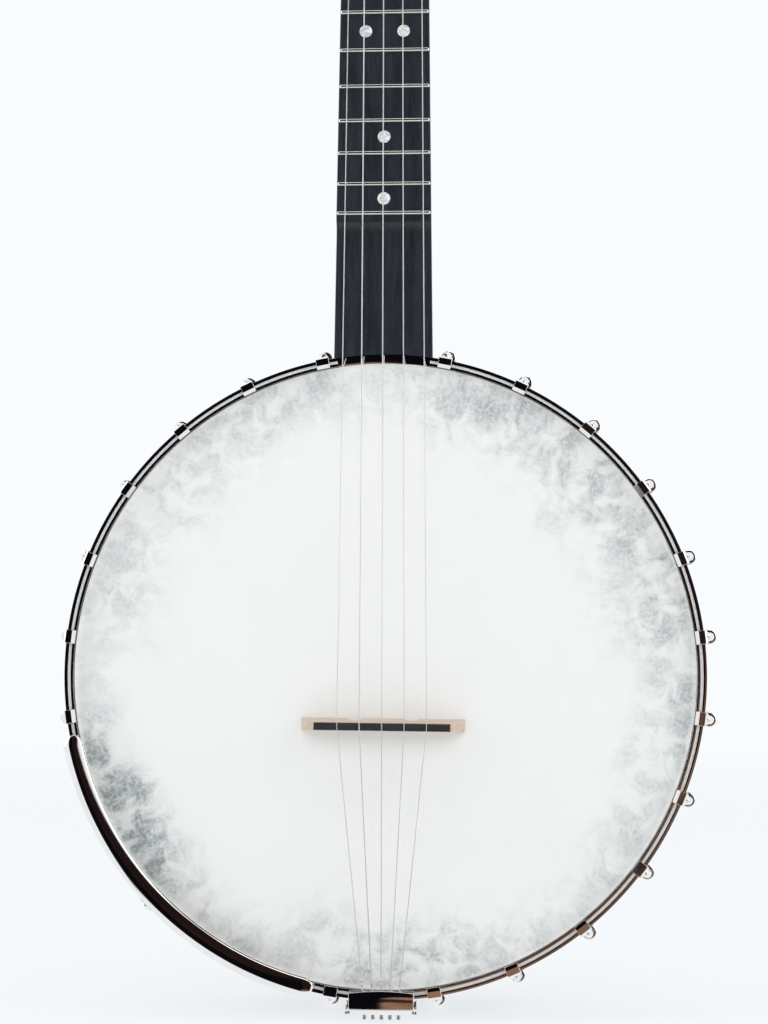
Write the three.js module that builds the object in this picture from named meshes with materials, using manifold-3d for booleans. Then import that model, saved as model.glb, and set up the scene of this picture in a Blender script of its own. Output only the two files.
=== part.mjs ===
// Open-back five-string banjo, built in millimetres, +Z up along the neck.
// X points right as the player's audience sees it, the head faces -Y, and the origin is the lowest
// point under the pot, on the pot's centre line and in the plane of the tension hoop's front.
import * as THREE from 'three';
import { mergeVertices } from 'three/addons/utils/BufferGeometryUtils.js';
import Module from 'manifold-3d';

const wasm = await Module();
wasm.setup();

// Driving dimensions.
const GAP = 0.3;                 // clearance kept between neighbouring pieces
const POT_Z = 162.6;             // height of the pot's centre over the origin
const RING_SIDES = 72;           // facets of every ring of the pot
const RIM_R = 148;               // wood rim, outside
const RIM_INNER_R = 135;
const RIM_FRONT_Y = 9;
const RIM_BACK_Y = 70;
const HEAD_Y = 3.9;              // playing face of the head
const HEAD_THICK = 0.6;
const HOOP_R = 153.3;            // tension hoop, outside
const HOOP_INNER_R = 149;
const HOOP_DEPTH = 12.6;
const HOOP_LIP_OUT = 1.65;       // widths of the lips either side of the front groove
const HOOP_LIP_IN = 1.1;
const GROOVE_DEPTH = 1.9;
const FLESH_HOOP_R = 152.3;
const FLESH_HOOP_BACK_Y = 15.9;
const BRACKETS_PER_SIDE = 12;
const BRACKET_FIRST_DEG = 11.25; // first bracket, counted from the neck
const BRACKET_STEP_DEG = 14.5;
const ROD_Y = 38;                // depth of the coordinator rod and of the shoe bolts
const SCALE = 666.75;            // nut to bridge
const BRIDGE_Z = -25.8;          // from the pot's centre
const BRIDGE_TOP_Y = -12;
const NECK_START_Z = 160;        // from the pot's centre, where the neck's own frame starts
const NECK_ANGLE_DEG = 2.5;
const BOARD_FACE_Y = -0.1;       // fingerboard face at the start of the neck's frame
const BOARD_THICK = 5.5;
const NUT_Z = 480.9;             // nut's board-side face, along the neck
const FRETS = 17;
const PEGHEAD_ANGLE_DEG = 13;
const PEGHEAD_THICK = 14;
const NUT_CENTRE_X = 3;          // the nut sits right of the middle, beside the fifth string's step
const STRING_R = 0.3;

const rad = THREE.MathUtils.degToRad;

// Materials, one per kind of stuff.
function stuff(color, roughness, metalness) {
  return () => new THREE.MeshStandardMaterial({ color, roughness, metalness });
}
const nickel = stuff(0xd8d9d6, 0.15, 1);
const brass = stuff(0xc9a65a, 0.3, 1);
const darkWood = stuff(0x3a2018, 0.4, 0);
const ebony = stuff(0x23282e, 0.5, 0);
const maple = stuff(0xe3cfae, 0.55, 0);
const bone = stuff(0xefe9da, 0.4, 0);
const skin = stuff(0xecf0ee, 0.6, 0);
const steelWire = stuff(0xc6c8c8, 0.25, 1);
const pearloid = stuff(0xe9e4d8, 0.3, 0);

const banjo = new THREE.Group();
const pot = new THREE.Group();
pot.position.z = POT_Z;
banjo.add(pot);
const neckFrame = new THREE.Group();
neckFrame.position.set(0, BOARD_FACE_Y, NECK_START_Z);
neckFrame.rotation.x = -rad(NECK_ANGLE_DEG);
pot.add(neckFrame);
const pegheadFrame = new THREE.Group();
pegheadFrame.position.set(NUT_CENTRE_X, 1.5, NUT_Z + 4);
pegheadFrame.rotation.x = -rad(PEGHEAD_ANGLE_DEG);
neckFrame.add(pegheadFrame);

function add(parent, name, geometry, material) {
  const mesh = new THREE.Mesh(geometry, material());
  mesh.name = name;
  parent.add(mesh);
  return mesh;
}

// Solid booleans: geometry to manifold and back.
function toManifold(geometry) {
  const plain = geometry.clone();
  plain.deleteAttribute('normal');
  plain.deleteAttribute('uv');
  const merged = mergeVertices(plain, 1e-4);
  return new wasm.Manifold(new wasm.Mesh({
    numProp: 3,
    vertProperties: new Float32Array(merged.attributes.position.array),
    triVerts: new Uint32Array(merged.index.array),
  }));
}

function toGeometry(manifold) {
  const mesh = manifold.getMesh();
  const geometry = new THREE.BufferGeometry();
  geometry.setAttribute('position', new THREE.BufferAttribute(mesh.vertProperties, 3));
  geometry.setIndex(new THREE.BufferAttribute(mesh.triVerts, 1));
  geometry.computeVertexNormals();
  return geometry;
}

function joined(...geometries) {
  return toGeometry(geometries.map(toManifold).reduce((sum, next) => sum.add(next)));
}

function cut(geometry, ...tools) {
  return toGeometry(tools.map(toManifold).reduce((rest, tool) => rest.subtract(tool), toManifold(geometry)));
}

function common(first, second) {
  return toGeometry(toManifold(first).intersect(toManifold(second)));
}

// A box between two corners.
function box(low, high) {
  const size = high.map((value, i) => value - low[i]);
  const centre = high.map((value, i) => (value + low[i]) / 2);
  return new THREE.BoxGeometry(...size).translate(...centre);
}

// A round bar between two points.
function bar(from, to, radius, sides = 10) {
  const start = new THREE.Vector3(...from);
  const run = new THREE.Vector3(...to).sub(start);
  const geometry = new THREE.CylinderGeometry(radius, radius, run.length(), sides);
  const turn = new THREE.Quaternion().setFromUnitVectors(new THREE.Vector3(0, 1, 0), run.clone().normalize());
  return geometry.applyQuaternion(turn).translate(...start.addScaledVector(run, 0.5).toArray());
}

// A ring or disc about the pot's axis; each point of the profile is [radius, y], outer side going up in y.
function turned(profile, sides = RING_SIDES) {
  return new THREE.LatheGeometry(profile.map(([r, y]) => new THREE.Vector2(r, y)), sides);
}

function closed(profile) {
  return [...profile, profile[0]];
}

// A flat outline of [x, z] points pushed along Y from y0 to y1.
function slab(points, y0, y1) {
  const shape = new THREE.Shape(points.map(([x, z]) => new THREE.Vector2(x, z)));
  const geometry = new THREE.ExtrudeGeometry(shape, { depth: y1 - y0, bevelEnabled: false });
  return geometry.rotateX(Math.PI / 2).translate(0, y1, 0);
}

// A side outline of [y, z] points pushed along X from x0 to x1.
function sideSlab(points, x0, x1) {
  const shape = new THREE.Shape(points.map(([y, z]) => new THREE.Vector2(y, z)));
  const geometry = new THREE.ExtrudeGeometry(shape, { depth: x1 - x0, bevelEnabled: false });
  const axes = new THREE.Matrix4().makeBasis(
    new THREE.Vector3(0, 1, 0), new THREE.Vector3(0, 0, 1), new THREE.Vector3(1, 0, 0));
  return geometry.applyMatrix4(axes).translate(x0, 0, 0);
}

// A body skinned over rings of the same number of points, each ring closed by a flat fan at the ends.
function skinned(rings) {
  const count = rings[0].length;
  const positions = rings.flat(2);
  const faces = [];
  for (let i = 0; i < rings.length - 1; i++) {
    for (let j = 0; j < count; j++) {
      const a = i * count + j;
      const b = i * count + (j + 1) % count;
      faces.push(a, b, b + count, a, b + count, a + count);
    }
  }
  const last = (rings.length - 1) * count;
  for (let j = 1; j < count - 1; j++) {
    faces.push(0, j + 1, j);
    faces.push(last, last + j, last + j + 1);
  }
  const geometry = new THREE.BufferGeometry();
  geometry.setAttribute('position', new THREE.Float32BufferAttribute(positions, 3));
  geometry.setIndex(faces);
  geometry.computeVertexNormals();
  return geometry;
}

// A route whose parameter steps from one listed point to the next.
class Route extends THREE.Curve {
  constructor(points) {
    super();
    this.points = points.map((point) => new THREE.Vector3(...point));
  }

  getPoint(t, target = new THREE.Vector3()) {
    const place = t * (this.points.length - 1);
    const i = Math.min(Math.floor(place), this.points.length - 2);
    return target.lerpVectors(this.points[i], this.points[i + 1], place - i);
  }

  getUtoTmapping(u) {
    return u;
  }
}

function wire(points, radius) {
  const route = new Route(points);
  const section = new THREE.Shape().absarc(0, 0, radius, 0, 2 * Math.PI);
  return new THREE.ExtrudeGeometry(section, {
    steps: points.length - 1, extrudePath: route, curveSegments: 4, bevelEnabled: false,
  });
}

// Bracket angles, clockwise from the neck: right side first, then left side.
const bracketAngles = [];
for (const side of [1, -1]) {
  for (let k = 0; k < BRACKETS_PER_SIDE; k++) {
    bracketAngles.push(side * rad(BRACKET_FIRST_DEG + BRACKET_STEP_DEG * k));
  }
}

// ---- Pot ----
const SHOE_HOLE_R = 2.4;
const END_BOLT_R = 2.9;

function rim() {
  const chamfer = 1.5;
  const ring = turned(closed([
    [RIM_INNER_R, RIM_FRONT_Y], [RIM_R, RIM_FRONT_Y], [RIM_R, RIM_BACK_Y - chamfer],
    [RIM_R - chamfer, RIM_BACK_Y], [RIM_INNER_R + chamfer, RIM_BACK_Y],
    [RIM_INNER_R, RIM_BACK_Y - chamfer],
  ]));
  const inside = RIM_INNER_R - 5;
  const outside = RIM_R + 5;
  const holes = bracketAngles.map((angle) => bar([0, ROD_Y, inside], [0, ROD_Y, outside], SHOE_HOLE_R, 6)
    .rotateY(angle));
  for (const side of [1, -1]) {
    holes.push(bar([0, ROD_Y, side * inside], [0, ROD_Y, side * outside], END_BOLT_R + 0.5, 8));
  }
  return cut(ring, ...holes);
}

function toneRing() {
  const top = HEAD_Y + HEAD_THICK + GAP;
  const width = 6;
  return turned(closed([
    [RIM_R - width, RIM_FRONT_Y - GAP], [RIM_R - width, top + 1.5], [RIM_R - width + 1.5, top + 0.2],
    [RIM_R - width / 2, top], [RIM_R - 1.2, top + 0.3], [RIM_R, top + 1.3], [RIM_R, RIM_FRONT_Y - GAP],
  ]));
}

function head() {
  const collarIn = RIM_R + GAP;
  const collarOut = HOOP_INNER_R - GAP;
  const fleshFrontY = HOOP_DEPTH + GAP;
  return turned([
    [0, HEAD_Y], [collarOut - 1.3, HEAD_Y], [collarOut - 0.3, HEAD_Y + 0.4], [collarOut, HEAD_Y + 1.3],
    [collarOut, fleshFrontY], [FLESH_HOOP_R, fleshFrontY], [FLESH_HOOP_R, FLESH_HOOP_BACK_Y],
    [collarIn, FLESH_HOOP_BACK_Y], [collarIn, HEAD_Y + 1.3], [collarIn - 0.8, HEAD_Y + HEAD_THICK],
    [0, HEAD_Y + HEAD_THICK],
  ]);
}

const HOOP_NOTCH_HALF = 22.7;
const HOOP_NOTCH_DEPTH = 3.2;

function tensionHoop() {
  const grooveIn = HOOP_INNER_R + HOOP_LIP_IN;
  const grooveOut = HOOP_R - HOOP_LIP_OUT;
  const ring = turned(closed([
    [HOOP_INNER_R, 0], [grooveIn, 0], [grooveIn, GROOVE_DEPTH], [grooveOut, GROOVE_DEPTH],
    [grooveOut, 0], [HOOP_R, 0], [HOOP_R, HOOP_DEPTH], [HOOP_INNER_R, HOOP_DEPTH],
  ]));
  const notch = box([-HOOP_NOTCH_HALF, -1, HOOP_INNER_R - 10], [HOOP_NOTCH_HALF, HOOP_NOTCH_DEPTH, HOOP_R + 5]);
  return cut(ring, notch);
}

add(pot, 'rim', rim(), darkWood);
add(pot, 'tone_ring', toneRing(), brass);
add(pot, 'head', head(), skin);
add(pot, 'tension_hoop', tensionHoop(), nickel);

// ---- Brackets: hook, shoe, shoe bolt and hook nut, drawn at the top of the pot ----
const HOOK_WIDTH = 6.3;
const HOOK_THICK = 1.3;
const SHANK_R = 2;
const SHANK_TOP = [0, 6, 157];      // the shank leans outwards from here to its threaded end
const SHANK_END = [0, 60, 162.3];
const SHOE_FRONT_Y = 32;
const SHOE_BACK_Y = 44;
const BOSS_R = 3.8;
const BOSS_Z = 160.1;

function bracket() {
  const over = GAP;                   // clearance of the hook over the hoop's lip
  const lip = HOOP_R + over;
  const tip = HOOP_R - HOOP_LIP_OUT - over;
  const tipIn = HOOP_INNER_R + HOOP_LIP_IN + over;
  const reach = HOOP_INNER_R + 0.2;   // the hook's plate covers the inner lip
  const front = -over - HOOK_THICK;
  const outside = lip + HOOK_THICK;
  const hook = sideSlab([
    [-over, tip], [1.4, tip], [1.4, tipIn], [-over, tipIn], [-over, reach],
    [front + 0.5, reach], [front, reach + 0.6],
    [front, outside - 0.9], [front + 0.9, outside], [9, outside + 0.5], [9, lip], [-over, lip],
  ], -HOOK_WIDTH / 2, HOOK_WIDTH / 2);
  const shank = bar(SHANK_TOP, SHANK_END, SHANK_R, 6);
  const boss = bar([0, SHOE_FRONT_Y, BOSS_Z], [0, SHOE_BACK_Y, BOSS_Z], BOSS_R, 10);
  const footHalf = 3.4;
  const footZ = RIM_R + GAP;
  const foot = box([-footHalf, SHOE_FRONT_Y, footZ], [footHalf, SHOE_BACK_Y, BOSS_Z]);
  const nut = bar([0, SHOE_BACK_Y - 0.5, BOSS_Z + 0.3], [0, SHOE_BACK_Y + 8, BOSS_Z + 0.7], 3.5, 6);
  const boltHeadZ = RIM_INNER_R - 0.6;
  const bolt = bar([0, ROD_Y, boltHeadZ - 1], [0, ROD_Y, footZ + 1], 1.9, 6);
  const boltHead = bar([0, ROD_Y, boltHeadZ - 3], [0, ROD_Y, boltHeadZ], 4, 6);
  return joined(hook, shank, boss, foot, nut, bolt, boltHead);
}

const bracketShape = bracket();
bracketAngles.forEach((angle, i) => {
  const name = `bracket_${String(i + 1).padStart(2, '0')}`;
  add(pot, name, bracketShape, nickel).rotation.y = angle;
});

// ---- Armrest, on the bass side ----
const ARMREST_FROM_DEG = 101.7;
const ARMREST_TO_DEG = 167.6;
const ARMREST_IN_R = 146.5;
const ARMREST_OUT_R = 158.6;

function armrest() {
  const thick = 1.2;
  const crownY = -8.4;
  const edgeY = -5.4;
  const skirtY = 5;                   // the skirt stops above the bracket shanks
  const middle = (ARMREST_IN_R + ARMREST_OUT_R) / 2 - 0.6;
  const shell = turned(closed([
    [ARMREST_IN_R, edgeY + thick], [ARMREST_IN_R, edgeY], [ARMREST_IN_R + 1.6, edgeY - 1.8],
    [middle - 1.5, crownY], [middle + 1.5, crownY], [ARMREST_OUT_R - 1.6, edgeY - 1.8],
    [ARMREST_OUT_R, edgeY + 0.6], [ARMREST_OUT_R, skirtY], [ARMREST_OUT_R - thick, skirtY],
    [ARMREST_OUT_R - thick, edgeY + 1.2], [middle + 1, crownY + thick + 0.3],
    [middle - 1, crownY + thick + 0.3], [ARMREST_IN_R + 1.6, edgeY],
  ]), 144);
  const reach = 400;
  const corner = (degrees) => [-reach * Math.sin(rad(degrees)), reach * Math.cos(rad(degrees))];
  const sector = slab([[0, 0], corner(ARMREST_FROM_DEG), corner(ARMREST_TO_DEG)], -20, 20);
  return common(shell, sector);
}

function armrestBracket() {
  const strapIn = ARMREST_OUT_R + GAP;
  const half = 4;
  const footY = [47, 53];
  const strap = box([-half, 0, strapIn], [half, footY[1], strapIn + 1.4]);
  const foot = box([-half, footY[0], RIM_R + GAP], [half, footY[1], strapIn + 0.5]);
  const screw = bar([0, 3.5, strapIn + 1], [0, 3.5, strapIn + 3], 2.6, 8);
  return joined(strap, foot, screw);
}

add(pot, 'armrest', armrest(), nickel);
const strapAngle = BRACKET_FIRST_DEG + BRACKET_STEP_DEG * 8.5;
add(pot, 'armrest_bracket', armrestBracket(), nickel).rotation.y = -rad(strapAngle);

// ---- Coordinator rod ----
function coordinatorRod() {
  const reach = RIM_INNER_R - 0.8;
  const flangeR = 8;
  const rodR = 4.75;
  const profile = [
    [0, -reach], [flangeR, -reach], [flangeR, 3 - reach], [rodR, 4.5 - reach],
    [rodR, reach - 4.5], [flangeR, reach - 3], [flangeR, reach], [0, reach],
  ];
  return turned(profile, 16).rotateX(Math.PI / 2).translate(0, ROD_Y, 0);
}

add(pot, 'coordinator_rod', coordinatorRod(), nickel);

// ---- Tailpiece: base with string pins, hinged cover, hanger ----
const TAIL_X = -0.4;
const TAIL_HALF = 15.2;
const TAIL_BASE_TOP_Z = -153.8;
const TAIL_BASE_LOW_Z = -157;
const TAIL_FACE_Y = -1.2;            // strings pass in front of this face, under the cover
const HINGE_Y = -4.3;
const HINGE_Z = -158.1;
const PIN_Y = 3;
const PIN_PITCH = 4.03;
const PIN_END_Z = -162.6;
const EAR = [15.6, 16.6];            // inner and outer face of each hinge ear

const pinX = [-2, -1, 0, 1, 2].map((k) => TAIL_X - 0.1 + k * PIN_PITCH);

function tailpieceBase() {
  const body = box([-TAIL_HALF, TAIL_FACE_Y, TAIL_BASE_LOW_Z], [TAIL_HALF, 14, TAIL_BASE_TOP_Z]);
  const ears = [];
  for (const side of [1, -1]) {
    const x0 = Math.min(side * EAR[0], side * EAR[1]);
    const ear = sideSlab([
      [HINGE_Y - 1.8, HINGE_Z - 1], [HINGE_Y - 1, HINGE_Z - 1.9], [HINGE_Y + 1.2, HINGE_Z - 1.9],
      [3, TAIL_BASE_LOW_Z], [3, TAIL_BASE_TOP_Z], [0, TAIL_BASE_TOP_Z],
      [HINGE_Y, HINGE_Z + 2], [HINGE_Y - 1.8, HINGE_Z + 1],
    ], x0, x0 + 1);
    const hole = bar([x0 - 1, HINGE_Y, HINGE_Z], [x0 + 2, HINGE_Y, HINGE_Z], 1.15, 10);
    ears.push(cut(ear, hole));
    const bridging = [side * (TAIL_HALF - 1), side * EAR[1]].sort((a, b) => a - b);
    ears.push(box([bridging[0], 0.5, TAIL_BASE_LOW_Z], [bridging[1], 3, TAIL_BASE_TOP_Z]));
  }
  const pins = pinX.map((x) => bar([x - TAIL_X, PIN_Y, TAIL_BASE_LOW_Z + 1], [x - TAIL_X, PIN_Y, PIN_END_Z], 0.9, 8));
  return joined(body, ...ears, ...pins);
}

function tailpieceCover() {
  const plateBack = -4.6;
  const plateFront = -5.6;
  const lowZ = HINGE_Z + 0.6;
  const topZ = -149.3;
  const crown = 0.9;
  const outline = [[-TAIL_HALF, lowZ], [TAIL_HALF, lowZ], [TAIL_HALF, topZ]];
  for (let i = 1; i < 8; i++) {
    const u = 1 - i / 4;
    outline.push([u * TAIL_HALF, topZ + crown * (1 - u * u)]);
  }
  outline.push([-TAIL_HALF, topZ]);
  const plate = slab(outline, plateFront, plateBack);
  const barrel = bar([-TAIL_HALF, HINGE_Y, HINGE_Z], [TAIL_HALF, HINGE_Y, HINGE_Z], 1.25, 12);
  const pin = bar([-EAR[1] - 0.4, HINGE_Y, HINGE_Z], [EAR[1] + 0.4, HINGE_Y, HINGE_Z], 0.8, 10);
  return joined(plate, barrel, pin);
}

function tailpieceHanger() {
  const half = 5;
  const topZ = TAIL_BASE_LOW_Z - GAP;
  const strap = box([-half, 5, topZ - 1.8], [half, ROD_Y + 6, topZ]);
  const foot = box([-half, ROD_Y - 6, topZ - 1], [half, ROD_Y + 6, -RIM_R - GAP]);
  const bolt = bar([0, ROD_Y, -RIM_R - 1], [0, ROD_Y, -RIM_INNER_R + 0.4], END_BOLT_R, 8);
  const boltHead = bar([0, ROD_Y, topZ - 1], [0, ROD_Y, topZ - 4.6], 5, 6);
  return joined(strap, foot, bolt, boltHead);
}

add(pot, 'tailpiece_base', tailpieceBase(), nickel).position.x = TAIL_X;
add(pot, 'tailpiece_cover', tailpieceCover(), nickel).position.x = TAIL_X;
add(pot, 'tailpiece_hanger', tailpieceHanger(), nickel);

// ---- Bridge: three-footed maple base under an ebony cap ----
const BRIDGE_HALF = 39.1;
const CAP_HALF = 32;
const CAP_BACK_Y = BRIDGE_TOP_Y + 2.7;
const CAP_WIDTH = 3.4;
const BRIDGE_ARCH = [10.2, 17];      // each arch between two feet, from the middle

function bridgeBase() {
  const footY = HEAD_Y - GAP;
  const topY = CAP_BACK_Y + GAP;
  const archY = footY - 6.5;
  const outline = [[-BRIDGE_HALF, footY], [-BRIDGE_HALF + 1, footY - 4], [-CAP_HALF - 0.4, topY],
    [CAP_HALF + 0.4, topY], [BRIDGE_HALF - 1, footY - 4], [BRIDGE_HALF, footY]];
  const archSteps = 6;
  for (const side of [1, -1]) {
    const from = side > 0 ? BRIDGE_ARCH[1] : -BRIDGE_ARCH[0];
    const to = side > 0 ? BRIDGE_ARCH[0] : -BRIDGE_ARCH[1];
    for (let i = 0; i <= archSteps; i++) {
      const t = i / archSteps;
      outline.push([from + (to - from) * t, footY + (archY - footY) * Math.sin(Math.PI * t) ** 0.6]);
    }
  }
  const shape = new THREE.Shape(outline.map(([x, y]) => new THREE.Vector2(x, y)));
  const blank = new THREE.ExtrudeGeometry(shape, { depth: 8, bevelEnabled: false }).translate(0, 0, -4);
  const half = CAP_WIDTH / 2;
  const taper = sideSlab([[footY + 1, -half - 0.5], [footY + 1, half + 1.9], [topY - 1, half], [topY - 1, -half]],
    -BRIDGE_HALF - 1, BRIDGE_HALF + 1);
  return common(blank, taper);
}

const bridgeFrame = new THREE.Group();
bridgeFrame.position.z = BRIDGE_Z;
bridgeFrame.rotation.y = rad(0.6);
pot.add(bridgeFrame);
add(bridgeFrame, 'bridge_base', bridgeBase(), maple);
const capShape = box([-CAP_HALF, BRIDGE_TOP_Y, -CAP_WIDTH / 2], [CAP_HALF, CAP_BACK_Y, CAP_WIDTH / 2]);
add(bridgeFrame, 'bridge_cap', capShape, ebony);

// ---- Neck, in its own frame: x across, y back from the fingerboard face, z towards the peghead ----
const TREBLE_EDGE = [23.3, 18.9];    // right edge at the start of the neck and at the nut
const BASS_EDGE = [-23.9, -20.1];    // left edge at the start and at the fifth string's step
const BASS_EDGE_NUT = -12.9;
const STEP_FROM_Z = 342;             // the bass edge steps in between these places
const STEP_TO_Z = 368;
const BOARD_END_Z = 60.4;            // the last full-height place of the fingerboard
const SCOOP_TOP_Y = 4;
const NECK_TOP_Y = BOARD_THICK + GAP;

function trebleEdge(z) {
  return THREE.MathUtils.lerp(TREBLE_EDGE[0], TREBLE_EDGE[1], z / NUT_Z);
}

function bassEdge(z) {
  const before = THREE.MathUtils.lerp(BASS_EDGE[0], BASS_EDGE[1], Math.min(z, STEP_FROM_Z) / STEP_FROM_Z);
  const step = THREE.MathUtils.smoothstep(z, STEP_FROM_Z, STEP_TO_Z);
  return THREE.MathUtils.lerp(before, BASS_EDGE_NUT, step);
}

function fretZ(n) {
  return NUT_Z - SCALE * (1 - 2 ** (-n / 12));
}

// The hoop, head and rim in the neck's frame, grown by the clearance.
function potCutter() {
  const hoopR = HOOP_R + 0.5;
  const rimR = RIM_R + 0.4;
  const behindHoopY = FLESH_HOOP_BACK_Y + 0.5;
  const disc = turned([[0, -30], [hoopR, -30], [hoopR, behindHoopY], [rimR, behindHoopY], [rimR, 120], [0, 120]]);
  const toNeck = new THREE.Matrix4().makeRotationX(rad(NECK_ANGLE_DEG))
    .multiply(new THREE.Matrix4().makeTranslation(0, -BOARD_FACE_Y, -NECK_START_Z));
  return disc.applyMatrix4(toNeck);
}

function fingerboard() {
  const edgeStops = [-20, STEP_FROM_Z, STEP_FROM_Z + 5, STEP_FROM_Z + 10, STEP_FROM_Z + 16, STEP_FROM_Z + 21,
    STEP_TO_Z, NUT_Z - GAP];
  const outline = edgeStops.map((z) => [bassEdge(z), z]).reverse();
  outline.unshift([trebleEdge(NUT_Z), NUT_Z - GAP]);
  outline.push([trebleEdge(-20), -20]);
  const plan = slab(outline.reverse(), -3, BOARD_THICK);
  const side = sideSlab([
    [BOARD_THICK, -20], [BOARD_THICK, NUT_Z], [0, NUT_Z], [0, BOARD_END_Z],
    [1.4, BOARD_END_Z - 0.6], [3.2, BOARD_END_Z - 3], [SCOOP_TOP_Y, BOARD_END_Z - 8], [SCOOP_TOP_Y, -20],
  ], -40, 40);
  const board = common(plan, side);
  const fretHalf = 0.65;
  const frets = [];
  for (let n = 1; n <= FRETS; n++) {
    const z = fretZ(n);
    frets.push(box([bassEdge(z) + 0.5, -1.2, z - fretHalf], [trebleEdge(z) - 0.5, 1, z + fretHalf]));
  }
  return cut(joined(board, ...frets), potCutter());
}

// Depth of the neck behind the fingerboard face: slim grip, then the heel.
function neckBackY(z) {
  const grip = THREE.MathUtils.lerp(26, 20.5, Math.min(Math.max(z, 0) / NUT_Z, 1));
  const heel = THREE.MathUtils.smoothstep(-z, -62, -2);
  return THREE.MathUtils.lerp(grip, 63, heel);
}

const TUNER_HOLE_R = 5.2;
const TUNERS = [                      // string number, x and z on the peghead
  { string: 4, x: -16.5, z: 44 },
  { string: 3, x: -14.5, z: 92 },
  { string: 2, x: 14.5, z: 92 },
  { string: 1, x: 16.5, z: 44 },
];
const FIFTH_Z = 330;                  // fifth tuner, along the neck
const FIFTH_Y = 13;

function pegheadOutline() {
  const right = new THREE.SplineCurve([
    [16, -3], [16.4, 8], [27, 26], [30.5, 40], [26, 58], [24.5, 72], [28.5, 96], [29.5, 112],
    [22, 122], [15, 126], [10, 134], [0, 138],
  ].map(([x, z]) => new THREE.Vector2(x, z))).getPoints(24).map((point) => [point.x, point.y]);
  const left = right.slice(0, -1).reverse().map(([x, z]) => [-x, z]);
  return [...right, ...left];
}

function neck() {
  const stations = [-40, -8, 2, 12, 22, 32, 44, 60, 180, STEP_FROM_Z, STEP_FROM_Z + 9, STEP_FROM_Z + 17,
    STEP_TO_Z, 470, NUT_Z + 12];
  const ringPoints = 12;
  const rings = stations.map((z) => {
    const right = trebleEdge(z);
    const left = bassEdge(z);
    const middle = (right + left) / 2;
    const half = (right - left) / 2;
    const depth = neckBackY(z) - NECK_TOP_Y;
    const ring = [];
    for (let i = 0; i < ringPoints; i++) {
      const t = Math.PI * i / (ringPoints - 1);
      const x = middle + half * Math.sign(Math.cos(t)) * Math.abs(Math.cos(t)) ** 0.8;
      ring.push([x, NECK_TOP_Y + depth * Math.sin(t) ** 0.8, z]);
    }
    return ring;
  });
  const shaft = skinned(rings);
  const peghead = slab(pegheadOutline(), 0, PEGHEAD_THICK);
  const holes = TUNERS.map(({ x, z }) => bar([x, -5, z], [x, PEGHEAD_THICK + 5, z], TUNER_HOLE_R, 12));
  pegheadFrame.updateMatrix();
  const placed = cut(peghead, ...holes).applyMatrix4(pegheadFrame.matrix);
  const nutSeat = box([-40, -10, NUT_Z - 5], [40, NECK_TOP_Y, NUT_Z + 4 + GAP]);
  const fifthHole = bar([-50, FIFTH_Y, FIFTH_Z], [-7, FIFTH_Y, FIFTH_Z], 4.8, 12);
  const lagBolt = bar([0, 0, 0], [0, 0, 1], END_BOLT_R, 8)
    .scale(1, 1, 16).translate(0, ROD_Y, RIM_INNER_R + 0.4);
  const toNeck = new THREE.Matrix4().makeRotationX(rad(NECK_ANGLE_DEG))
    .multiply(new THREE.Matrix4().makeTranslation(0, -BOARD_FACE_Y, -NECK_START_Z));
  const body = cut(joined(shaft, placed), nutSeat, fifthHole, potCutter());
  return joined(body, lagBolt.applyMatrix4(toNeck));
}

function nut() {
  return box([BASS_EDGE_NUT, -1.9, NUT_Z], [TREBLE_EDGE[1], BOARD_THICK, NUT_Z + 4]);
}

const FIFTH_NUT = { x: -17, z: fretZ(5) + 4 };

function fifthStringNut() {
  return bar([FIFTH_NUT.x, -GAP, FIFTH_NUT.z], [FIFTH_NUT.x, -2, FIFTH_NUT.z], 1.6, 10);
}

add(neckFrame, 'neck', neck(), darkWood);
add(neckFrame, 'fingerboard', fingerboard(), ebony);
add(neckFrame, 'nut', nut(), bone);
add(neckFrame, 'fifth_string_nut', fifthStringNut(), bone);

// ---- Tuners: drawn along +Y from the string side, turned into place by their groups ----
const POST_R = 3;
const POST_TIP_Y = -15;
const HOUSING_BACK_Y = PEGHEAD_THICK + 17;

function tunerHousing() {
  const bore = POST_R + 0.4;
  const sleeve = TUNER_HOLE_R - GAP;
  const washer = 7;
  const barrel = 7.6;
  const back = PEGHEAD_THICK + GAP;
  return turned(closed([
    [bore, -3.2], [washer - 1, -3.2], [washer, -2.4], [washer, -GAP], [sleeve, -GAP], [sleeve, back],
    [barrel, back], [barrel, HOUSING_BACK_Y - 2], [barrel - 2.5, HOUSING_BACK_Y], [bore, HOUSING_BACK_Y],
  ]), 12);
}

function tunerPost() {
  return turned([
    [0, POST_TIP_Y], [POST_R - 0.4, POST_TIP_Y], [POST_R, POST_TIP_Y + 0.6], [POST_R - 0.6, POST_TIP_Y + 3],
    [POST_R - 0.6, -7], [POST_R, -5], [POST_R, PEGHEAD_THICK + 4], [0, PEGHEAD_THICK + 4],
  ], 12);
}

function knobButton(fromY) {
  const button = new THREE.SphereGeometry(1, 10, 6).scale(10.5, 6.5, 4.2).translate(0, fromY + 5.8, 0);
  const stem = turned([
    [0, fromY - 14], [2.6, fromY - 14], [2.6, fromY - 1], [4.2, fromY], [3.6, fromY + 3], [0, fromY + 3],
  ], 8);
  return joined(stem, button);
}

for (const { string, x, z } of TUNERS) {
  const place = new THREE.Group();
  place.position.set(x, 0, z);
  pegheadFrame.add(place);
  add(place, `tuner_${string}_housing`, tunerHousing(), nickel);
  add(place, `tuner_${string}_post`, tunerPost(), nickel);
  add(place, `tuner_${string}_knob`, knobButton(HOUSING_BACK_Y + 1.5), pearloid);
}

// The fifth tuner stands out of the neck's bass side; its post turns on the housing's spindle.
const FIFTH_POST = [1.2, 7.4];        // along the tuner, from the neck's side
const FIFTH_BARREL_END = 21;
const FIFTH_POST_R = 3.6;

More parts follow.
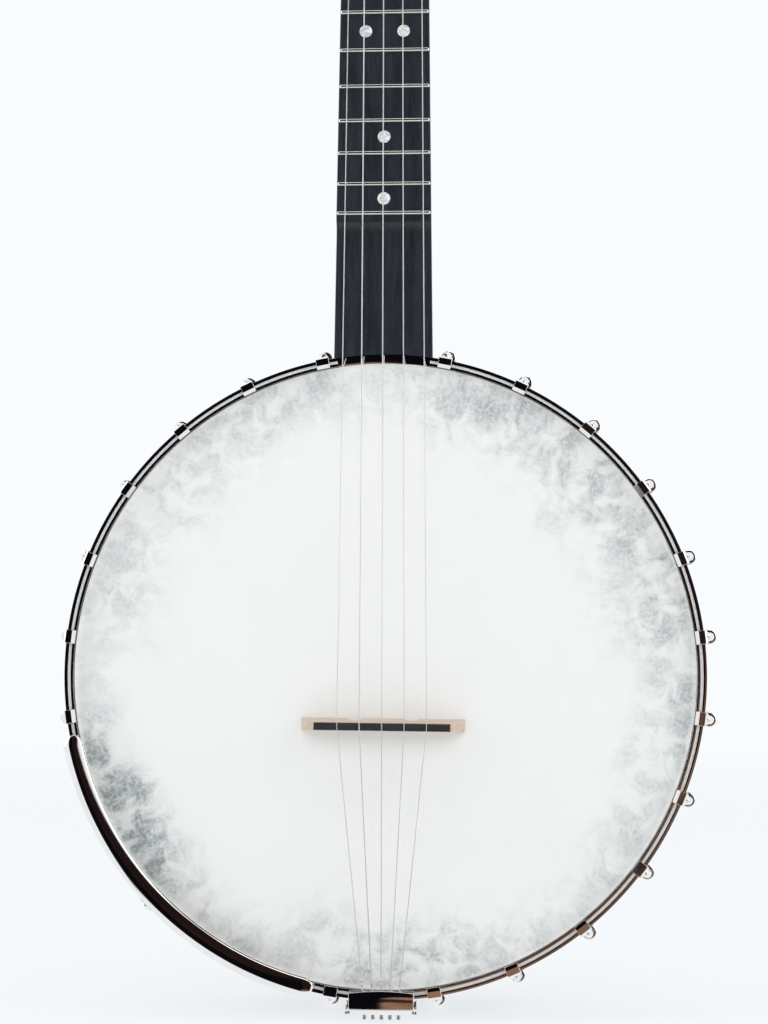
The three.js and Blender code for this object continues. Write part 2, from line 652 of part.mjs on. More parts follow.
function fifthHousing() {
  const spindle = 1.5;
  const barrel = 7;
  const bore = 3;
  const flat = FIFTH_POST[1] + GAP;
  return turned([
    [0, -12], [4.5, -12], [4.5, 0], [6, 0], [6, FIFTH_POST[0] - GAP], [spindle, FIFTH_POST[0] - GAP],
    [spindle, flat], [barrel, flat], [barrel, FIFTH_BARREL_END - 2], [barrel - 2.5, FIFTH_BARREL_END],
    [bore, FIFTH_BARREL_END], [bore, flat + 3], [0, flat + 3],
  ], 12);
}

function fifthPost() {
  const bore = 1.9;
  const waist = FIFTH_POST_R - 0.7;
  return turned(closed([
    [bore, FIFTH_POST[0]], [FIFTH_POST_R, FIFTH_POST[0]], [waist, FIFTH_POST[0] + 1.4],
    [waist, FIFTH_POST[1] - 1.4], [FIFTH_POST_R, FIFTH_POST[1]], [bore, FIFTH_POST[1]],
  ]), 12);
}

const fifthFrame = new THREE.Group();
fifthFrame.position.set(bassEdge(FIFTH_Z) - 0.6, FIFTH_Y, FIFTH_Z);
fifthFrame.rotation.z = Math.PI / 2;
neckFrame.add(fifthFrame);
add(fifthFrame, 'tuner_5_housing', fifthHousing(), nickel);
add(fifthFrame, 'tuner_5_post', fifthPost(), nickel);
const fifthKnobStart = FIFTH_BARREL_END + 1.5;
add(fifthFrame, 'tuner_5_knob', cut(knobButton(fifthKnobStart), box([-20, -40, -20], [20, fifthKnobStart - 9, 20])),
  pearloid);

// ---- Strings: pin, base edge, bridge, nut, post; numbered 5 at the bass side to 1 at the treble side ----
const STRING_ORDER = [5, 4, 3, 2, 1];
const BRIDGE_X = [-21.1, -10.6, 0, 10.5, 21];
const NUT_X = [-10.1, -1.3, 7.4, 16.1];        // strings 4 to 1
const lift = GAP + STRING_R;

neckFrame.updateMatrix();
pegheadFrame.updateMatrix();
const onNeck = (x, y, z) => new THREE.Vector3(x, y, z).applyMatrix4(neckFrame.matrix).toArray();
const onPeghead = (x, y, z) => {
  const point = new THREE.Vector3(x, y, z).applyMatrix4(pegheadFrame.matrix);
  return point.applyMatrix4(neckFrame.matrix).toArray();
};

STRING_ORDER.forEach((string, i) => {
  const x = pinX[i];
  const faceY = TAIL_FACE_Y - lift;
  const start = [
    [x + 0.9 + lift, PIN_Y, TAIL_BASE_LOW_Z - 2.4], [x + 0.6, 1, TAIL_BASE_LOW_Z - 1.4],
    [x, faceY, TAIL_BASE_LOW_Z - 0.4], [x, faceY, TAIL_BASE_TOP_Z],
    [BRIDGE_X[i], BRIDGE_TOP_Y - lift, BRIDGE_Z],
  ];
  const end = [];
  if (string === 5) {
    const postX = fifthFrame.position.x - (FIFTH_POST[0] + FIFTH_POST[1]) / 2;
    end.push(onNeck(FIFTH_NUT.x, -2 - lift, FIFTH_NUT.z));
    const edgeZ = (FIFTH_NUT.z + FIFTH_Z) / 2;
    end.push(onNeck(bassEdge(edgeZ) - lift, -lift - 0.3, edgeZ));
    end.push(onNeck(postX, FIFTH_Y - FIFTH_POST_R - lift, FIFTH_Z));
  } else {
    const tuner = TUNERS.find((place) => place.string === string);
    const inner = tuner.x - Math.sign(tuner.x) * (POST_R + lift);
    end.push(onNeck(NUT_X[i - 1], -1.9 - lift, NUT_Z));
    end.push(onNeck(NUT_X[i - 1], -1.9 - lift, NUT_Z + 4));
    end.push(onPeghead(inner, -6, tuner.z + 1));
  }
  add(pot, `string_${string}`, wire([...start, ...end], STRING_R), steelWire);
});

export default banjo;
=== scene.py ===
"""The looks of the open-back banjo: every visible piece, its material, the studio and the camera.

Shapes are drawn in millimetres in the frame of the pot, the bridge, the neck or the peghead, or in
one set inside these, and `piece` places them in the shared frame, in metres. Angles round the pot run
clockwise from the neck, seen from the front.
"""
import math

import bmesh
import bpy
import numpy as np
from mathutils import Matrix, Vector


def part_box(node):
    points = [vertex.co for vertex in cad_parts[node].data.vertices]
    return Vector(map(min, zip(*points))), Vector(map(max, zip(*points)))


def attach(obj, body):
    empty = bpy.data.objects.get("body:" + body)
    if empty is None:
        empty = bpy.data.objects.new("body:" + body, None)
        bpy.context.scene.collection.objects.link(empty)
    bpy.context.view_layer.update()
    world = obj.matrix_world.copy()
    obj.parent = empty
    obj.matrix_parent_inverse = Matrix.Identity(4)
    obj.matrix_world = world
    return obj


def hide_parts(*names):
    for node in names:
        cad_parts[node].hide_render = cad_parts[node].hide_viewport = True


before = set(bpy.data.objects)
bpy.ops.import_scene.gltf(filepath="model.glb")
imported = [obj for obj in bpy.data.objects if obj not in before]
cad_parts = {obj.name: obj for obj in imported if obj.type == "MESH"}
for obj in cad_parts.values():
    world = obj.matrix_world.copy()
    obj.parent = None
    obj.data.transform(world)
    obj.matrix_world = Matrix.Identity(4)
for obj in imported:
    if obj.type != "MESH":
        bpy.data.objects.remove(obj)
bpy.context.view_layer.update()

MM = 0.001
TAU = 2 * math.pi


# ---------------------------------------------------------------- sizes, from the frame where it has them
def box_mm(node):
    low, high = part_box(node)
    return low / MM, high / MM


hoop_low, hoop_high = box_mm("tension_hoop")
rim_low, rim_high = box_mm("rim")
head_low, head_high = box_mm("head")
rod_low, rod_high = box_mm("coordinator_rod")
POT_Z = (hoop_low.z + hoop_high.z) / 2
HOOP_R = (hoop_high.z - hoop_low.z) / 2
HOOP_DEPTH = hoop_high.y
HOOP_INNER_R = HOOP_R - 4.35
RIM_R = (rim_high.z - rim_low.z) / 2
RIM_INNER_R = RIM_R - 13
RIM_FRONT_Y, RIM_BACK_Y = rim_low.y, rim_high.y
HEAD_Y = head_low.y
FLESH_R = (head_high.z - head_low.z) / 2
FLESH_BACK_Y = head_high.y
ROD_Y = (rod_low.y + rod_high.y) / 2
ROD_REACH = (rod_high.z - rod_low.z) / 2
GAP = 0.3

BRACKETS_PER_SIDE, BRACKET_FIRST_DEG, BRACKET_STEP_DEG = 12, 11.25, 14.5
SCALE = 666.75
BRIDGE_Z, BRIDGE_TOP_Y, BRIDGE_TURN_DEG = -25.8, -12.0, 0.6
NECK_START_Z, NECK_ANGLE_DEG, BOARD_FACE_Y, BOARD_THICK = 160, 2.5, -0.1, 5.5
NUT_Z, NUT_CENTRE_X, NUT_DEEP = 480.9, 3.0, 4.0
FRETS, BOARD_END_Z, SCOOP_Y = 17, 60.4, 4.0
PEGHEAD_ANGLE_DEG, PEGHEAD_THICK, OVERLAY = 13, 14.0, 1.6
TREBLE_EDGE, BASS_EDGE, BASS_EDGE_NUT = (23.6, 18.9), (-24.3, -20.3), -12.9
STEP_FROM_Z, STEP_TO_Z = 342, 368
FIFTH_Z, FIFTH_Y = 330, 13

POT = Matrix.Translation((0, 0, POT_Z))
NECK = (POT @ Matrix.Translation((0, BOARD_FACE_Y, NECK_START_Z))
        @ Matrix.Rotation(-math.radians(NECK_ANGLE_DEG), 4, "X"))
PEGHEAD = (NECK @ Matrix.Translation((NUT_CENTRE_X, 1.5, NUT_Z + NUT_DEEP))
           @ Matrix.Rotation(-math.radians(PEGHEAD_ANGLE_DEG), 4, "X"))
BRIDGE = (POT @ Matrix.Translation((0, 0, BRIDGE_Z))
          @ Matrix.Rotation(math.radians(BRIDGE_TURN_DEG), 4, "Y"))


def clamp01(t):
    return min(max(t, 0.0), 1.0)


def smooth(t):
    t = clamp01(t)
    return t * t * (3 - 2 * t)


def mix(a, b, t):
    return a + (b - a) * t


def treble_edge(z):
    return mix(TREBLE_EDGE[0], TREBLE_EDGE[1], z / NUT_Z)


def bass_edge(z):
    before = mix(BASS_EDGE[0], BASS_EDGE[1], min(z, STEP_FROM_Z) / STEP_FROM_Z)
    return mix(before, BASS_EDGE_NUT, smooth((z - STEP_FROM_Z) / (STEP_TO_Z - STEP_FROM_Z)))


def fret_z(n):
    return NUT_Z - SCALE * (1 - 2 ** (-n / 12))


# ---------------------------------------------------------------- node materials
class Graph:
    """A material's node tree, with short ways to add the nodes used here."""

    def __init__(self, name):
        self.material = bpy.data.materials.new(name)
        self.material.use_nodes = True
        self.tree = self.material.node_tree
        self.shader = self.tree.nodes["Principled BSDF"]
        self.place = self.node("ShaderNodeTexCoord").outputs["Object"]

    def node(self, kind, **settings):
        made = self.tree.nodes.new(kind)
        for key, value in settings.items():
            setattr(made, key, value)
        return made

    def feed(self, socket, value):
        if isinstance(value, bpy.types.NodeSocket):
            self.tree.links.new(value, socket)
        else:
            socket.default_value = value

    def math(self, operation, a, b=0.0, c=0.0, clamp=False):
        made = self.node("ShaderNodeMath", operation=operation, use_clamp=clamp)
        for socket, value in zip(made.inputs, (a, b, c)):
            self.feed(socket, value)
        return made.outputs[0]

    def vector(self, operation, a, b):
        made = self.node("ShaderNodeVectorMath", operation=operation)
        self.feed(made.inputs[0], a)
        self.feed(made.inputs[1], b)
        return made.outputs["Value" if operation in ("DOT_PRODUCT", "LENGTH") else "Vector"]

    def noise(self, where, scale, detail=4.0, rough=0.55, distortion=0.0):
        made = self.node("ShaderNodeTexNoise")
        self.feed(made.inputs["Vector"], where)
        made.inputs["Scale"].default_value = scale
        made.inputs["Detail"].default_value = detail
        made.inputs["Roughness"].default_value = rough
        made.inputs["Distortion"].default_value = distortion
        return made.outputs["Fac"]

    def stretched(self, x, y, z, where=None):
        """Object coordinates scaled along each axis, so that a noise runs as grain."""
        made = self.node("ShaderNodeMapping")
        self.feed(made.inputs["Vector"], where or self.place)
        made.inputs["Scale"].default_value = (x, y, z)
        return made.outputs["Vector"]

    def between(self, value, low, high, to_low=0.0, to_high=1.0, kind="SMOOTHSTEP"):
        made = self.node("ShaderNodeMapRange", interpolation_type=kind)
        for socket, number in zip(made.inputs, (value, low, high, to_low, to_high)):
            self.feed(socket, number)
        return made.outputs["Result"]

    def colours(self, factor, *stops):
        made = self.node("ShaderNodeValToRGB")
        self.feed(made.inputs["Fac"], factor)
        ramp = made.color_ramp
        while len(ramp.elements) < len(stops):
            ramp.elements.new(0.5)
        for element, (place, colour) in zip(ramp.elements, stops):
            element.position = place
            element.color = (*colour, 1)
        return made.outputs["Color"]

    def blend(self, factor, a, b, kind="MIX"):
        made = self.node("ShaderNodeMix", data_type="RGBA", blend_type=kind)
        self.feed(made.inputs["Factor"], factor)
        self.feed(made.inputs["A"], a if isinstance(a, bpy.types.NodeSocket) else (*a, 1))
        self.feed(made.inputs["B"], b if isinstance(b, bpy.types.NodeSocket) else (*b, 1))
        return made.outputs["Result"]

    def bump(self, height, strength, distance):
        made = self.node("ShaderNodeBump")
        made.inputs["Strength"].default_value = strength
        made.inputs["Distance"].default_value = distance
        self.feed(made.inputs["Height"], height)
        self.feed(self.shader.inputs["Normal"], made.outputs["Normal"])

    def set(self, **values):
        for key, value in values.items():
            socket = self.shader.inputs[key.replace("_", " ")]
            if isinstance(value, tuple):
                value = (*value, 1)
            self.feed(socket, value)

    def round_pot(self):
        """Radius from the pot's axis in metres, and the unit direction from it, in X and Z."""
        flat = self.node("ShaderNodeVectorMath", operation="MULTIPLY_ADD")
        self.feed(flat.inputs[0], self.place)
        flat.inputs[1].default_value = (1, 0, 1)
        flat.inputs[2].default_value = (0, 0, -POT_Z * MM)
        radius = self.vector("LENGTH", flat.outputs["Vector"], (0, 0, 0))
        made = self.node("ShaderNodeVectorMath", operation="NORMALIZE")
        self.feed(made.inputs[0], flat.outputs["Vector"])
        return radius, made.outputs["Vector"]


def metal(name, colour, rough, wear=0.05, scratch=0.02):
    """Plated or plain metal: faint clouding of the polish and hairline scratches."""
    g = Graph(name)
    cloud = g.noise(g.place, 60, 3)
    tint = g.blend(g.between(cloud, 0.3, 0.75), tuple(c * 0.94 for c in colour), colour)
    hair = g.noise(g.stretched(1, 9, 1), 900, 2)
    g.set(Base_Color=tint, Metallic=1.0, Roughness=g.between(cloud, 0.3, 0.8, rough, rough + wear))
    g.bump(hair, scratch, 0.0001)
    return g.material


def grooved_metal(name, colour):
    """The turned floor of the hoop's groove: fine tool marks round the pot and small cross ticks."""
    g = Graph(name)
    radius, direction = g.round_pot()
    made = g.node("ShaderNodeCombineXYZ")
    g.feed(made.inputs[0], radius)
    rings = g.noise(made.outputs[0], 9000, 2)
    ticks = g.noise(direction, 420, 2)
    both = g.math("ADD", g.math("MULTIPLY", rings, 0.6), g.math("MULTIPLY", ticks, 0.4))
    tint = g.blend(g.between(both, 0.35, 0.65), tuple(c * 0.78 for c in colour), colour)
    g.set(Base_Color=tint, Metallic=0.0, Roughness=g.between(both, 0.3, 0.7, 0.4, 0.55))
    g.bump(both, 0.2, 0.0002)
    return g.material


PLY_THICK = 0.0026


def wood(name, dark, light, grain_axis, rough, fine=1.0, pores=0.35, laminated=False):
    """Wood with long grain along one axis (0, 1 or 2), pores, and plies where it is laminated."""
    g = Graph(name)
    stretch = [1.0, 1.0, 1.0]
    stretch[grain_axis] = 0.06
    along = g.stretched(*stretch)
    grain = g.noise(along, 160 * fine, 5, 0.6, 0.6)
    streak = g.noise(along, 900 * fine, 3, 0.6)
    pore = g.between(g.noise(along, 2400 * fine, 2, 0.5), 0.62, 0.75)
    amount = g.math("ADD", g.math("MULTIPLY", grain, 0.65), g.math("MULTIPLY", streak, 0.35))
    middle = tuple(mix(a, b, 0.55) for a, b in zip(dark, light))
    tone = g.colours(amount, (0.3, dark), (0.52, middle), (0.72, light))
    if laminated:
        radius, _ = g.round_pot()
        plies = g.math("MULTIPLY", radius, 1 / PLY_THICK)
        ply = g.math("FRACT", plies)
        seam = g.between(g.math("ABSOLUTE", g.math("SUBTRACT", ply, 0.5)), 0.40, 0.5)
        layer = g.math("FLOOR", plies)
        shade = g.math("FRACT", g.math("MULTIPLY", layer, 0.618))
        tone = g.blend(g.math("MULTIPLY", shade, 0.35), tone, light)
        tone = g.blend(g.math("MULTIPLY", seam, 0.5), tone, tuple(c * 0.4 for c in dark))
    tone = g.blend(g.math("MULTIPLY", pore, pores), tone, tuple(c * 0.35 for c in dark))
    g.set(Base_Color=tone, Roughness=g.between(streak, 0.3, 0.7, rough, rough + 0.12))
    g.bump(g.math("SUBTRACT", g.math("MULTIPLY", streak, 0.4), pore), 0.12, 0.0002)
    return g.material


# Where the head's grey clouds lie: middle and half width in degrees round the pot, reach in from the
# edge in mm, and strength.
CLOUDS = (
    (-22, 16, 32, 0.62), (-46, 15, 40, 0.52), (-70, 15, 38, 0.45), (-97, 13, 26, 0.28),
    (-121, 20, 25, 1.10), (-146, 14, 20, 0.55), (23, 13, 34, 0.80), (46, 15, 42, 0.80),
    (70, 15, 40, 0.84), (98, 14, 32, 0.70), (124, 14, 28, 0.50), (151, 13, 26, 0.48),
    (178, 20, 34, 0.80), (3, 9, 20, 0.42),
)


def skin():
    """Fibrous drum film: clean in the middle, with grey mottled clouds and pale fibres at the edge."""
    g = Graph("head_film")
    radius, direction = g.round_pot()
    warp = g.noise(g.place, 30, 4)
    wandering = g.math("ADD", radius, g.math("MULTIPLY", g.math("SUBTRACT", warp, 0.5), 0.045))
    total = 0.0
    for middle, half, reach, strength in CLOUDS:
        angle = math.radians(middle)
        facing = g.vector("DOT_PRODUCT", direction, (math.sin(angle), 0, math.cos(angle)))
        lobe = g.between(facing, math.cos(math.radians(half * 1.5)), math.cos(math.radians(half * 0.25)))
        edge = HOOP_INNER_R * MM
        band = g.between(wandering, edge - reach * 1.35 * MM, edge - reach * 0.25 * MM, 0.0, strength)
        total = g.math("MAXIMUM", total, g.math("MULTIPLY", lobe, band))
    blob = g.between(g.noise(g.place, 88, 5, 0.6, 0.6), 0.36, 0.64)
    grain = g.between(g.noise(g.place, 520, 4, 0.62, 0.6), 0.34, 0.64)
    fibre = g.noise(g.place, 300, 5, 0.6, 2.0)
    vein = g.between(g.math("ABSOLUTE", g.math("SUBTRACT", fibre, 0.5)), 0.0, 0.03, 1.0, 0.0)
    polar = g.node("ShaderNodeVectorMath", operation="MULTIPLY_ADD")
    g.feed(polar.inputs[0], direction)
    polar.inputs[1].default_value = (16, 1, 16)
    g.feed(polar.inputs[2], g.math("MULTIPLY", radius, 14))
    streak = g.between(g.noise(polar.outputs["Vector"], 1, 4, 0.6, 0.4), 0.50, 0.60)
    patch = g.math("MULTIPLY", blob, g.math("MULTIPLY_ADD", grain, 0.55, 0.45))
    amount = g.math("MULTIPLY", total, g.math("MULTIPLY_ADD", patch, 1.0, 0.10))
    amount = g.math("MULTIPLY", amount, g.math("SUBTRACT", 1.0, g.math("MULTIPLY", streak, 0.30)))
    amount = g.math("MULTIPLY", amount, g.math("SUBTRACT", 1.0, g.math("MULTIPLY", vein, 0.4)), clamp=True)
    haze = g.between(g.noise(g.place, 34, 4, 0.6, 0.5), 0.40, 0.75, 0.0, 0.10)
    rim_tone = g.between(radius, (HOOP_INNER_R - 2.2) * MM, (HOOP_INNER_R - 0.6) * MM, 0.0, 0.35)
    tone = g.blend(haze, (0.885, 0.886, 0.868), (0.71, 0.745, 0.735))
    tone = g.blend(amount, tone, (0.30, 0.34, 0.345))
    tone = g.blend(rim_tone, tone, (0.74, 0.73, 0.66))
    g.set(Base_Color=tone, Roughness=0.62)
    g.shader.inputs["Specular IOR Level"].default_value = 0.28
    g.bump(g.math("ADD", fibre, g.math("MULTIPLY", grain, 0.5)), 0.10, 0.0004)
    return g.material


def pearl(name, light, dark, scale, rough):
    """Swirled pearl: soft plates of light and shade."""
    g = Graph(name)
    swirl = g.noise(g.place, scale, 3, 0.5, 2.5)
    g.set(Base_Color=g.blend(g.between(swirl, 0.35, 0.65), dark, light),
          Roughness=g.between(swirl, 0.3, 0.7, rough, rough + 0.12))
    g.shader.inputs["Coat Weight"].default_value = 0.4
    return g.material


def plain_bone():
    g = Graph("bone")
    streak = g.noise(g.stretched(0.3, 1, 1), 500, 4)
    g.set(Base_Color=g.blend(g.between(streak, 0.3, 0.7), (0.72, 0.66, 0.52), (0.85, 0.80, 0.69)),
          Roughness=g.between(streak, 0.3, 0.7, 0.32, 0.45))
    return g.material


NICKEL = metal("nickel_plate", (0.92, 0.905, 0.88), 0.04)
NICKEL_SATIN = metal("nickel_satin", (0.74, 0.73, 0.71), 0.24, 0.1, 0.05)
GROOVE = grooved_metal("turned_groove", (0.97, 0.965, 0.95))
# Painted shade: the hoop's inner wall is coloured near black to stand for the shade in the gap between the
# hoop and the head.
PAINTED_SHADE_WALL = metal("hoop_wall_painted_shade", (0.055, 0.05, 0.046), 0.35)
PIN_METAL = metal("string_pins", (0.62, 0.62, 0.63), 0.3)
BRASS = metal("rolled_brass", (0.70, 0.53, 0.25), 0.22, 0.12)
STEEL = metal("string_wire", (0.90, 0.89, 0.86), 0.30, 0.08)
FRET_METAL = metal("fret_wire", (0.78, 0.78, 0.75), 0.18, 0.08)
WOOD_NECK = wood("stained_neck_wood", (0.030, 0.011, 0.006), (0.105, 0.042, 0.022), 2, 0.30)
WOOD_RIM = wood("stained_rim_wood", (0.030, 0.011, 0.006), (0.110, 0.044, 0.023), 0, 0.30, laminated=True)
EBONY = wood("ebony_board", (0.0045, 0.0065, 0.0105), (0.021, 0.028, 0.038), 2, 0.38, 1.2, 0.5)
EBONY_CAP = wood("ebony_cap", (0.010, 0.010, 0.012), (0.032, 0.032, 0.036), 0, 0.42, 1.4, 0.4)
MAPLE = wood("raw_maple", (0.50, 0.37, 0.28), (0.72, 0.60, 0.49), 0, 0.5, 1.2, 0.12)
SKIN = skin()
DOT_PEARL = pearl("inlay_pearl", (0.90, 0.91, 0.90), (0.52, 0.56, 0.56), 350, 0.2)
BUTTON_PEARL = pearl("button_pearl", (0.86, 0.84, 0.77), (0.66, 0.62, 0.52), 160, 0.18)
BONE = plain_bone()


# ---------------------------------------------------------------- mesh making
SHARP_DEG = 38


def linked(name, data):
    """A new object in the scene."""
    obj = bpy.data.objects.new(name, data)
    bpy.context.scene.collection.objects.link(obj)
    return obj


def loose(name, verts, faces, place=POT):
    """An object from millimetre points in a local frame, not yet a piece of the banjo."""
    mesh = bpy.data.meshes.new(name)
    mesh.from_pydata([(place @ Vector(v)) * MM for v in verts], [], faces)
    mesh.validate()
    mesh.update()
    recalculate(mesh)
    return linked(name, mesh)


def piece(name, verts, faces, material, slot=None, body="banjo", place=POT, sharp=SHARP_DEG, bevel=0.0,
          replaces=()):
    """A finished object that rides on a CAD body."""
    obj = loose(name, verts, faces, place)
    mesh = obj.data
    mesh.shade_smooth()
    mesh.set_sharp_from_angle(angle=math.radians(sharp))
    for m in material if isinstance(material, (list, tuple)) else [material]:
        mesh.materials.append(m)
    if bevel:
        made = obj.modifiers.new("edges", "BEVEL")
        made.width = bevel * MM
        made.segments = 3
        made.limit_method = "ANGLE"
        made.angle_limit = math.radians(40)
        made.harden_normals = False
    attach(obj, body)
    if replaces:
        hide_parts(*replaces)
    return obj


def recalculate(mesh):
    """Makes the faces point outwards."""
    bm = bmesh.new()
    bm.from_mesh(mesh)
    bmesh.ops.recalc_face_normals(bm, faces=bm.faces)
    bm.to_mesh(mesh)
    bm.free()


def copy_round(source, name, degrees, replaces=()):
    """A copy of a piece drawn at the top of the pot, turned round the pot's axis."""
    obj = linked(name, source.data)
    centre = Matrix.Translation((0, 0, POT_Z * MM))
    obj.matrix_world = centre @ Matrix.Rotation(math.radians(degrees), 4, "Y") @ centre.inverted()
    for modifier in source.modifiers:
        made = obj.modifiers.new(modifier.name, modifier.type)
        for key in ("width", "segments", "limit_method", "angle_limit", "harden_normals"):
            setattr(made, key, getattr(modifier, key))
    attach(obj, "banjo")
    if replaces:
        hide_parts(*replaces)
    return obj


def turned(profile, sides, loop=False, axis=(0, 0)):
    """Verts and faces of a profile of (radius, y) turned about a line along Y through axis (x, z)."""
    verts, rows = [], []
    for r, y in profile:
        if r < 1e-6:
            rows.append([len(verts)] * sides)
            verts.append((axis[0], y, axis[1]))
        else:
            rows.append(list(range(len(verts), len(verts) + sides)))
            for k in range(sides):
                a = TAU * k / sides
                verts.append((axis[0] + r * math.sin(a), y, axis[1] + r * math.cos(a)))
    return verts, bridged(rows, loop, True)


def bridged(rows, loop=False, ring=True):
    """Faces between rows of vertex numbers; a ring's rows close on themselves."""
    faces = []
    pairs = list(zip(rows, rows[1:])) + ([(rows[-1], rows[0])] if loop else [])
    for low, high in pairs:
        count = len(low)
        for k in range(count if ring else count - 1):
            n = (k + 1) % count
            corners = []
            for v in (low[k], low[n], high[n], high[k]):
                if v not in corners:
                    corners.append(v)
            if len(corners) > 2:
                faces.append(corners)
    return faces


def lofted(rings, caps=True):
    """Verts and faces over closed rings of equal count, with flat ends."""
    count = len(rings[0])
    verts = [tuple(v) for ring in rings for v in ring]
    rows = [list(range(i * count, (i + 1) * count)) for i in range(len(rings))]
    faces = bridged(rows)
    if caps:
        faces += [rows[0][::-1], rows[-1]]
    return verts, faces


def extruded(outline, to_point, start, end):
    """A flat outline of (u, v) pushed from start to end; to_point(u, v, w) gives the place."""
    return lofted([[to_point(u, v, w) for u, v in outline] for w in (start, end)])


def tube(points, radius, sides=12, caps=True):
    """A round tube along points; radius is a number or one per point."""
    path = [Vector(p) for p in points]
    radii = radius if isinstance(radius, (list, tuple)) else [radius] * len(path)
    tangents = []
    for i in range(len(path)):
        before = path[max(i - 1, 0)]
        after = path[min(i + 1, len(path) - 1)]
        if 0 < i < len(path) - 1:
            t = (path[i] - before).normalized() + (after - path[i]).normalized()
        else:
            t = after - before
        tangents.append(t.normalized())
    normal = tangents[0].orthogonal().normalized()
    rings = []
    for p, t, r in zip(path, tangents, radii):
        normal = (normal - t * normal.dot(t)).normalized()
        side = t.cross(normal)
        rings.append([p + (normal * math.cos(TAU * k / sides) + side * math.sin(TAU * k / sides)) * r
                      for k in range(sides)])
    return lofted(rings, caps)


def together(*parts):
    """Several (verts, faces) as one."""
    verts, faces = [], []
    for part_verts, part_faces in parts:
        base = len(verts)
        verts += [tuple(v) for v in part_verts]
        faces += [[i + base for i in face] for face in part_faces]
    return verts, faces


def strip(path, width, thick, place):
    """A flat strap along a path of (u, v), with its width and thickness; place(u, v, across)."""
    rings = []
    widths = width if isinstance(width, (list, tuple)) else [width] * len(path)
    for i, (u, v) in enumerate(path):
        u0, v0 = path[max(i - 1, 0)]
        u1, v1 = path[min(i + 1, len(path) - 1)]
        du, dv = u1 - u0, v1 - v0
        size = math.hypot(du, dv)
        nu, nv = -dv / size * thick / 2, du / size * thick / 2
        w = widths[i] / 2
        rings.append([place(u + nu, v + nv, -w), place(u + nu, v + nv, w),
                      place(u - nu, v - nv, w), place(u - nu, v - nv, -w)])
    return lofted(rings)


def arc(centre, radius, start_deg, end_deg, steps):
    """Points of an arc in a plane, as (u, v)."""
    out = []
    for i in range(steps + 1):
        a = math.radians(mix(start_deg, end_deg, i / steps))
        out.append((centre[0] + radius * math.cos(a), centre[1] + radius * math.sin(a)))
    return out


def hexagon(radius, y0, y1, x=0.0, z=0.0):
    """A hexagonal nut along Y."""
    angles = [TAU * k / 6 for k in range(6)]
    corners = [(x + radius * math.sin(a), z + radius * math.cos(a)) for a in angles]
    return lofted([[(u, y, v) for u, v in corners] for y in (y0, y1)])


def upright_disc(radius, z0, z1, sides=32, y=ROD_Y):
    """A disc that lies flat on the pot's top or bottom, across Z; six sides make it a nut."""
    angles = [TAU * k / sides for k in range(sides)]
    return lofted([[(radius * math.cos(a), y + radius * math.sin(a), z) for a in angles] for z in (z0, z1)])


def cut_away(obj, cutter):
    """Subtracts a cutter object from a piece, for good."""
    modifier = obj.modifiers.new("cut", "BOOLEAN")
    modifier.operation = "DIFFERENCE"
    modifier.solver = "EXACT"
    modifier.object = cutter
    bpy.context.view_layer.update()
    evaluated = obj.evaluated_get(bpy.context.evaluated_depsgraph_get())
    result = bpy.data.meshes.new_from_object(evaluated)
    obj.modifiers.remove(modifier)
    old = obj.data
    obj.data = result
    bpy.data.meshes.remove(old)
    obj.data.shade_smooth()
    obj.data.set_sharp_from_angle(angle=math.radians(SHARP_DEG))


# ---------------------------------------------------------------- pot
RING = 240


def make_rim():
    edge = arc((RIM_R - 1.5, RIM_BACK_Y - 1.5), 1.5, 0, 90, 5) + arc(
        (RIM_INNER_R + 1.5, RIM_BACK_Y - 1.5), 1.5, 90, 180, 5)
    profile = [(RIM_INNER_R, RIM_FRONT_Y), (RIM_R, RIM_FRONT_Y)] + edge
    piece("rim_shell", *turned(profile, RING, loop=True), WOOD_RIM, "stained_wood", replaces=("rim",))


def make_tone_ring():
    """A rolled ring whose front edge is a flattened arch."""
    low, high = box_mm("tone_ring")
    half, arch_tall, flatness = 3, 1.3, 0.43
    spring = low.y + arch_tall
    arch = arc((RIM_R - half, spring), half, -5, -175, 10)
    profile = [(RIM_R - 2 * half, high.y), (RIM_R, high.y), (RIM_R, spring)]
    profile += [(r, spring + (y - spring) * flatness) for r, y in arch]
    piece("tone_ring_rolled", *turned(profile, RING, loop=True), BRASS, "brass", replaces=("tone_ring",))


def make_head():
    """The film, risen a little at the hoop's wall, and the flesh hoop that holds its folded edge."""
    film, flat_r, skirt_y = 0.6, 138, HOOP_DEPTH + 1.5
    collar = HOOP_INNER_R - 0.06
    wrap = RIM_R + GAP
    front = [(r, HEAD_Y) for r in (0, 40, 90, 120, flat_r, collar - 2.2)]
    front += [(collar - 1.2, HEAD_Y - 0.25), (collar - 0.5, HEAD_Y - 0.9), (collar, HEAD_Y - 1.6)]
    back = [(collar, skirt_y), (wrap, skirt_y), (wrap, HEAD_Y + 1.4)]
    back += [(RIM_R - 1, HEAD_Y + film), (flat_r, HEAD_Y + film), (0, HEAD_Y + film)]
    piece("head_film", *turned(front + back, RING), SKIN, "head_skin", sharp=50, replaces=("head",))
    rounding, clear = 0.6, 0.05
    low = HOOP_DEPTH + GAP
    ring = arc((FLESH_R - rounding, low + rounding), rounding, -90, 0, 3)
    ring += arc((FLESH_R - rounding, FLESH_BACK_Y - rounding), rounding, 0, 90, 3)
    ring += [(wrap + clear, FLESH_BACK_Y), (wrap + clear, skirt_y + clear)]
    ring += [(collar + 2 * clear, skirt_y + clear), (collar + 2 * clear, low)]
    piece("flesh_hoop", *turned(ring, RING, loop=True), NICKEL_SATIN, "nickel")


LIP_OUT, LIP_IN, GROOVE_DEPTH = 1.72, 1.38, 1.0
NOTCH_HALF, NOTCH_DEPTH = 22.7, 3.2


